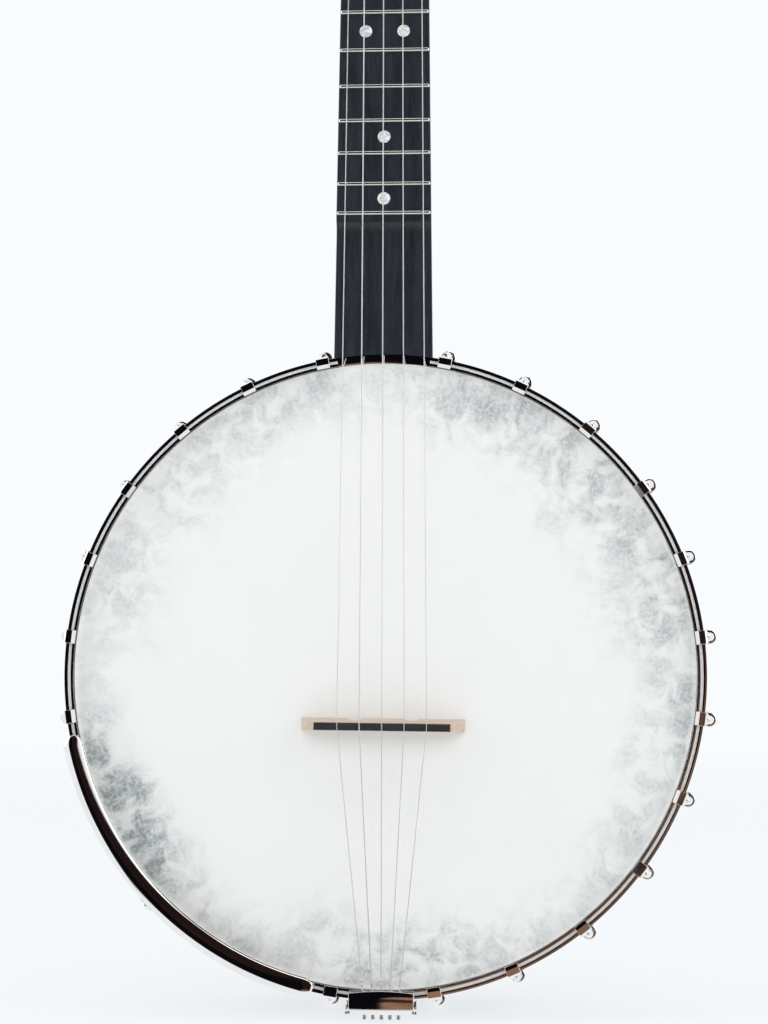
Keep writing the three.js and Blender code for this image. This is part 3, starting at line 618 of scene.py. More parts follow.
def hoop_profile():
    """The hoop's section as (radius, y) points, with its turned groove."""
    inner, outer = HOOP_INNER_R, HOOP_R
    groove_in, groove_out = inner + LIP_IN, outer - LIP_OUT
    r = 0.07
    points = arc((inner + r, r), r, 180, 270, 3) + arc((groove_in - r, r), r, 270, 360, 3)
    points += [(groove_in, GROOVE_DEPTH), (groove_out, GROOVE_DEPTH)]
    points += arc((groove_out + r, r), r, 180, 270, 3)
    points += arc((outer - r, r), r, 270, 360, 3)
    points += arc((outer - 0.5, HOOP_DEPTH - 0.5), 0.5, 0, 90, 3)
    points += arc((inner + 0.5, HOOP_DEPTH - 0.5), 0.5, 90, 180, 3)
    return points


def make_hoop():
    points = hoop_profile()
    notch = math.degrees(math.asin(NOTCH_HALF / HOOP_R))
    edges = (notch, 360 - notch)
    steps, wall_deg, clear_deg = 480, 0.02, 0.3
    edge_drop, edge_width = 0.5, 0.45
    angles = [360 * k / steps for k in range(steps)]
    angles = [a for a in angles if min(abs(a - edge) for edge in edges) > clear_deg]
    angles += [edge + away for edge in edges for away in (-wall_deg, wall_deg)]
    angles.sort()
    verts, rows = [], []
    for angle in angles:
        inside = min(angle, 360 - angle) < notch
        a = math.radians(angle)
        rows.append(list(range(len(verts), len(verts) + len(points))))
        for r, y in points:
            if inside:
                from_edge = min(r - HOOP_INNER_R, HOOP_R - r)
                y = max(y, NOTCH_DEPTH + edge_drop * (1 - clamp01(from_edge / edge_width)))
            verts.append((r * math.sin(a), y, r * math.cos(a)))
    faces = bridged(rows, loop=True)
    obj = piece("tension_hoop_band", verts, faces, [NICKEL, GROOVE, PAINTED_SHADE_WALL], "nickel", sharp=24,
                replaces=("tension_hoop",))
    low, high = HOOP_INNER_R + LIP_IN - 0.05, HOOP_R - LIP_OUT + 0.05
    for polygon in obj.data.polygons:
        c = polygon.center / MM
        radius = math.hypot(c.x, c.z - POT_Z)
        if low < radius < high and abs(c.y - GROOVE_DEPTH) < 0.02:
            polygon.material_index = 1
        # The hoop's inner wall takes the near-black painted-shade material.
        elif radius < HOOP_INNER_R + 0.02 and c.y > 0.2:
            polygon.material_index = 2


def make_rod():
    """The coordinator rod inside the rim, with a flange and a nut at each end."""
    rod_r, flange_r, flange_thick, nut_r = 4.75, 8, 2, 7
    nut_from, nut_to = ROD_REACH - 2.1, ROD_REACH - 8
    reach = ROD_REACH - 1
    place = POT @ Matrix.Translation((0, ROD_Y, 0)) @ Matrix.Rotation(math.pi / 2, 4, "X")
    rod = [(0, -reach), (rod_r, -reach), (rod_r, reach), (0, reach)]
    piece("coordinator_rod_bar", *turned(rod, 48), NICKEL_SATIN, "nickel", place=place, bevel=0.3,
          replaces=("coordinator_rod",))
    for end, name in ((-1, "neck"), (1, "tail")):
        near, far = sorted((end * ROD_REACH, end * (ROD_REACH - flange_thick)))
        disc = [(0, near), (flange_r, near), (flange_r, far), (0, far)]
        piece(f"rod_flange_{name}", *turned(disc, 48), NICKEL, "nickel", place=place, bevel=0.4)
        nut = hexagon(nut_r, *sorted((end * nut_from, end * nut_to)))
        piece(f"rod_nut_{name}", *nut, NICKEL, "nickel", place=place, bevel=0.5)


# ---------------------------------------------------------------- brackets
HOOK_WIDTH, HOOK_THICK = 6.3, 1.3
SHANK_TOP, SHANK_END = (6, 157.0), (60, 162.3)
SHOE_FRONT_Y, SHOE_BACK_Y, BOSS_R, BOSS_Z = 32, 44, 3.8, 160.1


def bracket_parts():
    """Hook, shoe, hook nut and shoe bolt at the top of the pot, as (verts, faces, bevel)."""
    def up(u, v, across):
        return (across, u, v)

    front = -GAP - HOOK_THICK / 2 - 0.25
    outside = HOOP_R + GAP + HOOK_THICK / 2
    bend = 1.1
    path = [(-0.55, HOOP_INNER_R + 0.1), (-0.6, HOOP_INNER_R + 0.3), (front - 0.2, HOOP_INNER_R + 1.75),
            (front, outside - bend)]
    path += arc((front + bend, outside - bend), bend, 180, 90, 10)[1:]
    path += [(5, outside + 0.2), (8.5, outside + 0.5), (11, 157.1)]
    widths = [HOOK_WIDTH - 0.5] + [HOOK_WIDTH] * (len(path) - 3) + [HOOK_WIDTH - 0.8, 4.0]
    claw = strip(path, widths, 0.95, up)
    rib = extruded([(-0.4, HOOP_INNER_R + 1.45), (1.4, HOOP_INNER_R + 1.5), (1.4, HOOP_INNER_R + 2.3),
                    (-0.4, HOOP_INNER_R + 2.35)], up, -HOOK_WIDTH / 2, HOOK_WIDTH / 2)
    start, end = Vector((0, *SHANK_TOP)), Vector((0, *SHANK_END))
    plain, turns = 30, 26
    points = [start.lerp(end, t) for t in (0.028, 0.065, 0.10, 0.14, 0.6)]
    radii = [0.2, 1.1, 1.7, 2.0, 2.0]
    for k in range(plain + 2 * turns):
        t = 0.62 + 0.38 * k / (plain + 2 * turns - 1)
        points.append(start.lerp(end, t))
        radii.append(2.0 if k % 2 else 1.72)
    shank = tube(points, radii, 14)
    hook = together(claw, rib, shank)
    dome = [(0, SHOE_FRONT_Y + 1.2), (2.35, SHOE_FRONT_Y + 1.2), (2.4, SHOE_FRONT_Y)]
    dome += arc((BOSS_R - 0.9, SHOE_FRONT_Y + 0.9), 0.9, -90, 0, 4)
    dome += arc((BOSS_R - 0.9, SHOE_BACK_Y - 0.9), 0.9, 0, 90, 4) + [(0, SHOE_BACK_Y)]
    boss_verts, boss_faces = turned(dome, 48, axis=(0, BOSS_Z))
    boss_verts = [(x, y + (BOSS_Z - z) * 0.42 if abs(y - SHOE_FRONT_Y - 1.2) < 0.01 else y, z)
                  for x, y, z in boss_verts]
    boss = boss_verts, boss_faces
    rings = []
    for z, half, half_y in ((RIM_R + GAP, 4.4, 6.0), (RIM_R + 1.6, 4.4, 6.0), (RIM_R + 2.6, 3.2, 5.2),
                            (BOSS_Z - 3.2, 2.6, 4.6), (BOSS_Z, 2.6, 4.6)):
        ring = []
        for k in range(24):
            a = TAU * k / 24
            ring.append((half * math.copysign(abs(math.cos(a)) ** 0.5, math.cos(a)),
                         ROD_Y + half_y * math.copysign(abs(math.sin(a)) ** 0.5, math.sin(a)), z))
        rings.append(ring)
    shoe = together(boss, lofted(rings))
    under, washer_r, washer_thick = SHOE_BACK_Y, 3.9, 0.9
    plate = [(0, under), (washer_r, under), (washer_r, under + washer_thick), (0, under + washer_thick)]
    nut = together(hexagon(3.5, under + 0.05, under + 7.6, 0, BOSS_Z + 0.5),
                   turned(plate, 32, axis=(0, BOSS_Z + 0.4)))
    inner = RIM_INNER_R - 0.25
    tip = tube([(0, ROD_Y, inner - depth) for depth in (3.4, 3.9, 4.3)], [1.9, 1.9, 1.2], 16)
    bolt = together(upright_disc(5.2, inner - washer_thick, inner),
                    upright_disc(3.9, inner - 3.5, inner - 0.95, 6), tip)
    return {"hook": (hook, 0.22), "shoe": (shoe, 0.0), "hook_nut": (nut, 0.3), "shoe_bolt": (bolt, 0.22)}


def make_brackets():
    sources = {}
    for part, ((verts, faces), bevel) in bracket_parts().items():
        sources[part] = piece(f"source_{part}", verts, faces, NICKEL, "nickel", sharp=19, bevel=bevel)
    number = 0
    for side in (1, -1):
        for k in range(BRACKETS_PER_SIDE):
            number += 1
            angle = side * (BRACKET_FIRST_DEG + BRACKET_STEP_DEG * k)
            for part, source in sources.items():
                stands_for = (f"bracket_{number:02d}",) if part == "hook" else ()
                copy_round(source, f"{part}_{number:02d}", angle, stands_for)
    for source in sources.values():
        bpy.data.objects.remove(source)


# ---------------------------------------------------------------- armrest
# The armrest lies on the left, so its two angles run anticlockwise from the neck.
ARMREST_FROM_DEG, ARMREST_TO_DEG, ARMREST_IN_R, ARMREST_OUT_R = 101.7, 167.6, 146.5, 156.1
ARMREST_CROWN = ((1.1, -5.75), (2.0, -6.1), (3.4, -6.6), (4.8, -7.02), (5.7, -7.24), (6.7, -7.38),
                 (7.7, -7.36), (8.6, -7.2), (9.4, -6.95))
CROWN_WIDTH = 12.1


def armrest_section():
    """Outer face of the armrest from the inner bead to the skirt, as (radius, y)."""
    r_in, r_out = ARMREST_IN_R, ARMREST_OUT_R
    points = arc((r_in + 0.45, -5.0), 0.4, 110, 290, 6)
    wide = (r_out - r_in) / CROWN_WIDTH
    crown = [(r_in + wide * u, y) for u, y in ARMREST_CROWN]
    roll = 1.9
    skirt = arc((r_out - roll, -6.75 + roll), roll, -65, 0, 12) + [(r_out, 0), (r_out, 4.5)]
    return points + crown + skirt


def make_armrest():
    outer = armrest_section()
    thick = 0.95
    inner = []
    for i, (r, y) in enumerate(outer[4:]):
        j = i + 4
        r0, y0 = outer[j - 1]
        r1, y1 = outer[min(j + 1, len(outer) - 1)]
        size = math.hypot(r1 - r0, y1 - y0)
        inner.append((r - (y1 - y0) / size * thick, y + (r1 - r0) / size * thick))
    inner = [(max(r, ARMREST_IN_R + 0.9), y) for r, y in inner]
    section = outer + inner[::-1]
    middle = (ARMREST_IN_R + ARMREST_OUT_R) / 2
    length = math.radians(ARMREST_TO_DEG - ARMREST_FROM_DEG) * middle
    steps = 150
    rounding = 5.5
    stops = [rounding * (1 - math.cos(math.pi / 2 * i / 10)) for i in range(10)]
    stops += list(np.linspace(rounding, length - rounding, steps))
    stops += [length - s for s in stops[:10][::-1]]
    rings = []
    for s in stops:
        from_end = min(s, length - s)
        share = math.sqrt(max(1 - (1 - clamp01(from_end / rounding)) ** 2, 0.0))
        share = max(share, 0.04)
        a = -math.radians(ARMREST_FROM_DEG) - s / middle
        ring = []
        for r, y in section:
            r_here = middle - 0.8 + (r - middle + 0.8) * mix(share, 1, 0.1)
            ring.append((r_here * math.sin(a), mix(-6.2, y, share), r_here * math.cos(a)))
        rings.append(ring)
    piece("armrest_shell", *lofted(rings), NICKEL, "nickel", sharp=40, replaces=("armrest",))


def make_armrest_bracket():
    """The strap that clamps the armrest between two brackets, with its foot and screw."""
    degrees = -(BRACKET_FIRST_DEG + BRACKET_STEP_DEG * 8.5)
    strap_r, bend, foot_y, screw_y = 158.9, 5, 50, 3.5
    under, along = ARMREST_OUT_R + 0.8, strap_r + 0.7
    bend_y = foot_y - bend - 1
    path = [(0.2, under), (7, under), (13, along), (bend_y, along)]
    path += arc((bend_y, strap_r + 0.7 - bend), bend, 90, 20, 5)[1:]
    path += [(foot_y, RIM_R + 6), (foot_y, RIM_R + GAP)]
    strap = strip(path, 8, 1.4, lambda u, v, w: (w, u, v))
    foot = upright_disc(4.6, RIM_R + GAP, RIM_R + 2.2, y=foot_y)
    face = ARMREST_OUT_R + 1.3
    screw = tube([(0, screw_y, face + out) for out in (0, 0.7, 1.4, 1.7)], [2.6, 2.6, 2.1, 1.0], 24)
    source = piece("armrest_strap_source", *together(strap, foot, screw), NICKEL, "nickel", bevel=0.25)
    copy_round(source, "armrest_strap", degrees, ("armrest_bracket",))
    bpy.data.objects.remove(source)


# ---------------------------------------------------------------- tailpiece
TAIL_X, TAIL_HALF = -0.4, 15.2
TAIL_TOP_Z, TAIL_LOW_Z, TAIL_FACE_Y = -153.8, -157.0, -1.2
HINGE_Y, HINGE_Z = -4.3, -158.1
PIN_Y, PIN_PITCH, PIN_END_Z = 3.0, 4.03, -162.6
PIN_X = [TAIL_X - 0.1 + k * PIN_PITCH for k in (-2, -1, 0, 1, 2)]


def make_tailpiece():
    def across(u, v, w):
        return (w + TAIL_X, u, v)

    face, back = TAIL_FACE_Y, 14
    section = [(face + 0.5, TAIL_LOW_Z), (back, TAIL_LOW_Z), (back, TAIL_TOP_Z), (face + 0.8, TAIL_TOP_Z),
               (face, TAIL_TOP_Z - 0.8), (face, TAIL_LOW_Z + 0.5)]
    body = extruded(section, across, -TAIL_HALF, TAIL_HALF)
    piece("tailpiece_body", *body, NICKEL, "nickel", bevel=0.25, replaces=("tailpiece_base",))
    for side, name in ((-1, "bass"), (1, "treble")):
        x0, x1 = sorted((side * (TAIL_HALF + 0.4), side * (TAIL_HALF + 1.4)))
        round_end = arc((HINGE_Y, HINGE_Z), 1.85, 100, 290, 10)
        ear = extruded([(3, TAIL_TOP_Z)] + [(0, TAIL_TOP_Z)] + round_end + [(3, TAIL_LOW_Z)], across, x0, x1)
        link = sorted((side * (TAIL_HALF - 0.4), side * (TAIL_HALF + 1.4)))
        corners = [(0.5, TAIL_LOW_Z), (3, TAIL_LOW_Z), (3, TAIL_TOP_Z), (0.5, TAIL_TOP_Z)]
        web = extruded(corners, across, *link)
        piece(f"tailpiece_ear_{name}", *together(ear, web), NICKEL, "nickel", bevel=0.2)
    for i, x in enumerate(PIN_X):
        stops = [TAIL_LOW_Z + 0.4] + [PIN_END_Z + up for up in (1.1, 1.0, 0.25, 0)]
        shaft = tube([(x, PIN_Y, z) for z in stops], [0.9, 0.9, 1.05, 1.05, 0.85], 18)
        piece(f"string_pin_{i + 1}", *shaft, PIN_METAL, "nickel", sharp=30)
    make_tailpiece_cover(across)
    make_hanger()


def make_tailpiece_cover(across):
    """The hinged cover: a gently crowned plate with an arched top, rolled round the hinge pin."""
    columns, rows_up = 48, 12
    low_z, top_z, crown = HINGE_Z + 1.55, -149.3, 1.1
    thick = 0.9
    sheets = []
    for depth in (0.0, thick):
        sheet = []
        for j in range(rows_up + 1):
            for i in range(columns + 1):
                u = 2 * i / columns - 1
                top = top_z + crown * (1 - u * u)
                z = mix(low_z, top, j / rows_up)
                t = j / rows_up
                y = -5.6 + 0.2 * (2 * t - 1) ** 2 + 0.45 * u * u + depth
                sheet.append((u * TAIL_HALF + TAIL_X, y, z))
        sheets.append(sheet)
    verts = sheets[0] + sheets[1]
    width = columns + 1
    back = len(sheets[0])
    faces = []
    for j in range(rows_up):
        for i in range(columns):
            a = j * width + i
            faces.append((a, a + 1, a + width + 1, a + width))
            faces.append((a + back, a + width + back, a + width + 1 + back, a + 1 + back))
    rim = list(range(width)) + [j * width + columns for j in range(1, rows_up + 1)]
    rim += [rows_up * width + i for i in range(columns - 1, -1, -1)]
    rim += [j * width for j in range(rows_up - 1, 0, -1)]
    for a, b in zip(rim, rim[1:] + rim[:1]):
        faces.append((a, a + back, b + back, b))
    piece("tailpiece_lid", verts, faces, NICKEL, "nickel", body="tailpiece_cover", bevel=0.18,
          replaces=("tailpiece_cover",))
    roll = ((-1.25, 1.5), (-0.95, 0.95), (0.75, -1.15), (1.15, -1.25), (1.45, -0.9), (1.35, 0.9),
            (-0.2, 1.5))
    half = TAIL_HALF - 0.4
    knuckle = extruded([(HINGE_Y + y, HINGE_Z + z) for y, z in roll], across, -half, half)
    piece("tailpiece_knuckle", *knuckle, NICKEL, "nickel", body="tailpiece_cover", bevel=0.2)
    reach = TAIL_HALF + 1.8
    for side, name in ((-1, "bass"), (1, "treble")):
        stops = (side * (TAIL_HALF - 0.6), side * (reach - 0.3), side * reach)
        pin = tube([(TAIL_X + x, HINGE_Y, HINGE_Z) for x in stops], [0.8, 0.8, 0.55], 20)
        piece(f"tailpiece_hinge_pin_{name}", *pin, PIN_METAL, "nickel", body="tailpiece_cover")


def make_hanger():
    """The strap behind the tailpiece, its foot on the rim, and the bolt through it."""
    top, half = TAIL_LOW_Z - GAP, 6
    strap = strip([(5, top - 0.9), (ROD_Y + half, top - 0.9)], 10, 1.8, lambda u, v, w: (w, u, v))
    corners = [(-5, ROD_Y - half), (5, ROD_Y - half), (5, ROD_Y + half), (-5, ROD_Y + half)]
    foot = extruded(corners, lambda u, v, w: (u, v, w), top - 0.5, -RIM_R - GAP)
    piece("tailpiece_hanger_strap", *together(strap, foot), NICKEL, "nickel", bevel=0.3,
          replaces=("tailpiece_hanger",))
    head = upright_disc(5, top - 1.8, top - 4.5, 6)
    piece("end_bolt_head", *head, NICKEL, "nickel", bevel=0.5)


# ---------------------------------------------------------------- bridge
BRIDGE_HALF, CAP_HALF, CAP_WIDTH, CAP_TALL = 39.1, 32.0, 3.4, 2.7
BRIDGE_X = (-21.1, -10.6, 0.0, 10.5, 21.0)
ARCH = (10.2, 17.0)


def make_bridge():
    foot, top = HEAD_Y - 0.05, BRIDGE_TOP_Y + CAP_TALL + 0.02
    arch_top = foot - 6.5
    flank = [(BRIDGE_HALF, foot), (BRIDGE_HALF - 0.6, foot - 3.2), (CAP_HALF + 0.5, top)]
    outline = [(-x, y) for x, y in flank] + flank[::-1]
    for x0, x1 in ((ARCH[1], ARCH[0]), (-ARCH[0], -ARCH[1])):
        for i in range(13):
            t = i / 12
            outline.append((mix(x0, x1, t), mix(foot, arch_top, math.sin(math.pi * t) ** 0.6)))
    half = CAP_WIDTH / 2
    rings = []
    for side in (-1, 1):
        ring = []
        for x, y in outline:
            t = clamp01((foot - y) / (foot - top))
            neck_side = mix(half + 1.9, half + 0.35, t)
            tail_side = mix(-half - 0.5, -half - 0.3, t)
            ring.append((x, y, neck_side if side > 0 else tail_side))
        rings.append(ring)
    piece("bridge_maple", *lofted(rings), MAPLE, "maple", place=BRIDGE, bevel=0.2, replaces=("bridge_base",))
    slots = []
    for x in BRIDGE_X:
        slots += [(x - 0.5, BRIDGE_TOP_Y), (x - 0.2, BRIDGE_TOP_Y + 0.45), (x + 0.2, BRIDGE_TOP_Y + 0.45),
                  (x + 0.5, BRIDGE_TOP_Y)]
    cap = [(-CAP_HALF, BRIDGE_TOP_Y + CAP_TALL), (-CAP_HALF, BRIDGE_TOP_Y)] + slots + [
        (CAP_HALF, BRIDGE_TOP_Y), (CAP_HALF, BRIDGE_TOP_Y + CAP_TALL)]
    cap = extruded(cap, lambda u, v, w: (u, v, w), -half, half)
    piece("bridge_ebony", *cap, EBONY_CAP, "ebony", place=BRIDGE, bevel=0.12, replaces=("bridge_cap",))


# ---------------------------------------------------------------- neck
def neck_back_y(z):
    grip = mix(26, 20.5, clamp01(z / NUT_Z))
    return mix(grip, 63, smooth((62 - z) / 60))


def pot_cutter():
    """The room that the pot takes out of the neck and the board."""
    before, behind, past = -30, FLESH_BACK_Y + 0.5, 120
    wide, narrow = HOOP_R + 0.5, RIM_R + 0.4
    disc = [(0, before), (wide, before), (wide, behind), (narrow, behind), (narrow, past), (0, past)]
    return loose("pot_cutter", *turned(disc, RING))


def make_neck(cutter):
    points = 36
    stretches = ((-24, 80, 40), (95, STEP_FROM_Z - 10, 16), (STEP_FROM_Z - 4, STEP_TO_Z + 4, 16),
                 (385, NUT_Z + 9, 8))
    stations = np.concatenate([np.linspace(*stretch) for stretch in stretches]).tolist()
    rings = []
    for z in stations:
        right, left = treble_edge(z), bass_edge(z)
        middle, half = (right + left) / 2, (right - left) / 2
        top = BOARD_THICK + 0.1 if z < NUT_Z else BOARD_THICK + 1.5
        depth = neck_back_y(z) - top
        ring = []
        for i in range(points):
            t = math.pi * i / (points - 1)
            c = math.cos(t)
            x = middle + half * math.copysign(abs(c) ** 0.8, c)
            ring.append((x, top + depth * math.sin(t) ** 0.8, z))
        rings.append(ring)
    neck = piece("neck_shaft", *lofted(rings), WOOD_NECK, "stained_wood", place=NECK, sharp=50,
                 replaces=("neck",))
    cut_away(neck, cutter)


PEGHEAD_SIDE = ((16, -3), (16.4, 8), (27, 26), (30.5, 40), (26, 58), (24.5, 72), (28.5, 96), (29.5, 112),
                (22, 122), (15, 126), (10, 134), (0, 138))
TUNERS = ((4, -16.5, 44), (3, -14.5, 92), (2, 14.5, 92), (1, 16.5, 44))
TUNER_HOLE_R = 5.2


def smooth_line(points, per_span):
    """A Catmull-Rom line through the points."""
    out = []
    p = [np.array(q, float) for q in points]
    for i in range(len(p) - 1):
        a, b, c, d = p[max(i - 1, 0)], p[i], p[i + 1], p[min(i + 2, len(p) - 1)]
        for k in range(per_span):
            t = k / per_span
            out.append(tuple(0.5 * (2 * b + (c - a) * t + (2 * a - 5 * b + 4 * c - d) * t * t
                                    + (3 * b - a - 3 * c + d) * t ** 3)))
    return out + [tuple(p[-1])]


def make_peghead():
    right = smooth_line(PEGHEAD_SIDE, 6)
    outline = right + [(-x, z) for x, z in right[:-1][::-1]]

    def upright(u, v, w):
        return (u, w, v)

    head = piece("peghead", *extruded(outline, upright, OVERLAY + 0.02, PEGHEAD_THICK), WOOD_NECK,
                 "stained_wood", place=PEGHEAD, bevel=0.9)
    face = piece("peghead_overlay", *extruded(outline, upright, 0, OVERLAY), EBONY, "ebony",
                 place=PEGHEAD, bevel=0.5)
    hole = [(0, -5), (TUNER_HOLE_R, -5), (TUNER_HOLE_R, 20), (0, 20)]
    for _, x, z in TUNERS:
        drill = loose("drill", *turned(hole, 40, axis=(x, z)), place=PEGHEAD)
        cut_away(head, drill)
        cut_away(face, drill)
        bpy.data.objects.remove(drill)
    cover = [(-5, 6), (5, 6), (6.2, 12), (5, 20), (0, 27), (-5, 20), (-6.2, 12)]
    cover = extruded(smooth_line(cover + cover[:1], 5)[:-1], upright, -1.4, -0.02)
    piece("truss_rod_cover", *cover, EBONY, "ebony", place=PEGHEAD, bevel=0.3)
    for i, z in enumerate((9.5, 22.5)):
        dome = [(0, -2.3), (1.0, -2.2), (1.7, -1.8), (1.8, -1.4), (0, -1.4)]
        piece(f"truss_cover_screw_{i + 1}", *turned(dome, 20, axis=(0, z)), NICKEL, "nickel", place=PEGHEAD)


def board_top_y(z):
    """Depth of the board's playing face: level, then a cove down to the scoop."""
    if z >= BOARD_END_Z:
        return 0.0
    t = clamp01((BOARD_END_Z - z) / 7)
    return SCOOP_Y * math.sin(math.pi / 2 * t) ** 0.55


def make_fingerboard(cutter):
    stretches = ((-14, BOARD_END_Z - 7.5, 30), (BOARD_END_Z - 7, BOARD_END_Z, 16),
                 (BOARD_END_Z + 0.3, STEP_FROM_Z - 2, 30), (STEP_FROM_Z, STEP_TO_Z, 16),
                 (STEP_TO_Z + 4, NUT_Z - 0.1, 10))
    stations = np.concatenate([np.linspace(*stretch) for stretch in stretches]).tolist()
    edge = 0.35
    rings = []
    for z in stations:
        top = board_top_y(z)
        left, right = bass_edge(z), treble_edge(z)
        ring = [(right, BOARD_THICK, z), (right, top + edge, z), (right - edge, top, z)]
        ring += [(mix(right - edge, left + edge, k / 8), top, z) for k in range(1, 8)]
        ring += [(left + edge, top, z), (left, top + edge, z), (left, BOARD_THICK, z)]
        rings.append(ring)
    board = piece("fingerboard_ebony", *lofted(rings), EBONY, "ebony", place=NECK, sharp=40,
                  replaces=("fingerboard",))
    cut_away(board, cutter)


def make_frets():
    high, half = 1.15, 1.05
    for n in range(1, FRETS + 1):
        z = fret_z(n)
        left, right = bass_edge(z) + 0.15, treble_edge(z) - 0.15
        xs = [left + half * (1 - math.cos(math.pi / 2 * k / 6)) for k in range(7)]
        xs += [right - (x - left) for x in xs[::-1]]
        rings = []
        for x in xs:
            near = clamp01(min(x - left, right - x) / half)
            share = max(math.sqrt(1 - (1 - near) ** 2), 0.08)
            dome = [math.pi * k / 10 for k in range(11)]
            ring = [(x, -high * share * math.sin(a), z + half * share * math.cos(a)) for a in dome]
            ring += [(x, 0.5, z - half * share), (x, 0.5, z + half * share)]
            rings.append(ring)
        piece(f"fret_{n:02d}", *lofted(rings), FRET_METAL, "nickel", place=NECK, sharp=60)


DOTS = ((3, (0,)), (5, (0,)), (7, (0,)), (10, (0,)), (12, (-9.4, 9.4)), (15, (0,)), (17, (0,)))
DOT_R = 3.15


def make_dots():
    for n, places in DOTS:
        z = (fret_z(n) + fret_z(n - 1)) / 2
        middle = (treble_edge(z) + bass_edge(z)) / 2
        for k, x in enumerate(places):
            disc = [(0, -0.06), (DOT_R - 0.1, -0.06), (DOT_R, 0.0), (DOT_R, 0.5), (0, 0.5)]
            dot = turned(disc, 48, axis=(middle + x, z))
            piece(f"dot_{n:02d}_{k + 1}", *dot, DOT_PEARL, "pearloid", place=NECK)
        side = tube([(bass_edge(z) + 0.4, 2.6, z), (bass_edge(z) - 0.05, 2.6, z)], 1.0, 20)
        piece(f"side_dot_{n:02d}", *side, DOT_PEARL, "pearloid", place=NECK)


NUT_X = (-10.1, -1.3, 7.4, 16.1)
FIFTH_NUT_X, FIFTH_NUT_Z = -17.0, fret_z(5) + 4
NUT_TOP_Y = -1.9


def make_nuts():
    left, right = BASS_EDGE_NUT, TREBLE_EDGE[1]
    outline = [(left, BOARD_THICK), (left, NUT_TOP_Y + 0.6), (left + 0.6, NUT_TOP_Y)]
    slot_floor = NUT_TOP_Y + 0.5
    for x in NUT_X:
        outline += [(x - 0.4, NUT_TOP_Y), (x - 0.2, slot_floor), (x + 0.2, slot_floor), (x + 0.4, NUT_TOP_Y)]
    outline += [(right - 0.6, NUT_TOP_Y), (right, NUT_TOP_Y + 0.6), (right, BOARD_THICK)]
    nut = extruded(outline, lambda u, v, w: (u, v, w), NUT_Z, NUT_Z + NUT_DEEP)
    piece("nut_bone", *nut, BONE, "bone", place=NECK, bevel=0.12, replaces=("nut",))
    peg = [(0, -2.05), (1.2, -2.0), (1.6, -1.6), (1.2, -1.1), (1.2, 0.4), (0, 0.4)]
    piece("fifth_nut_bone", *turned(peg, 32, axis=(FIFTH_NUT_X, FIFTH_NUT_Z)), BONE, "bone", place=NECK,
          replaces=("fifth_string_nut",))


# ---------------------------------------------------------------- tuners
POST_R, POST_TIP_Y = 3.0, -15.0
HOUSING_BACK_Y = PEGHEAD_THICK + 17


def button(name, place, start_y, body):
    """A pearloid button on its stem, with the ferrule and the screw that hold it."""
    rings = []
    for j in range(25):
        v = -math.pi / 2 + math.pi * j / 24
        ring = []
        for k in range(40):
            u = TAU * k / 40
            x = 10.5 * math.cos(v) ** 0.75 * math.copysign(abs(math.cos(u)) ** 0.85, math.cos(u))
            z = 4.2 * math.cos(v) ** 0.75 * math.copysign(abs(math.sin(u)) ** 0.85, math.sin(u))
            waist = 1 - 0.22 * smooth((-v) / (math.pi / 2))
            ring.append((x * waist, start_y + 6.1 + 6.1 * math.sin(v), z))
        rings.append(ring)
    piece(f"{name}_button", *lofted(rings[1:-1]), BUTTON_PEARL, "pearloid", body=body, place=place, sharp=70,
          replaces=(body,))
    stem = ((0, -9), (2.4, -9), (2.4, -1), (3.9, -0.6), (4.1, 0.4), (3.6, 1.6), (0, 1.6))
    screw = ((0, 12.0), (1.9, 12.0), (2.1, 12.4), (1.6, 12.5), (0, 12.5))
    for part, profile, sides in (("stem", stem, 36), ("screw", screw, 28)):
        shape = turned([(r, start_y + y) for r, y in profile], sides)
        piece(f"{name}_{part}", *shape, NICKEL, "nickel", body=body, place=place)


def winding(place, radius, start_y, wire_r, turns, name, body):
    """The string's turns round its post."""
    points = []
    reach = radius + wire_r
    for k in range(turns * 24 + 1):
        a = TAU * k / 24
        points.append((math.sin(a) * reach, start_y + 2 * wire_r * a / TAU, math.cos(a) * reach))
    piece(name, *tube(points, wire_r, 8), STEEL, "string_steel", body=body, place=place)


STRING_R = {5: 0.23, 4: 0.31, 3: 0.28, 2: 0.25, 1: 0.23}


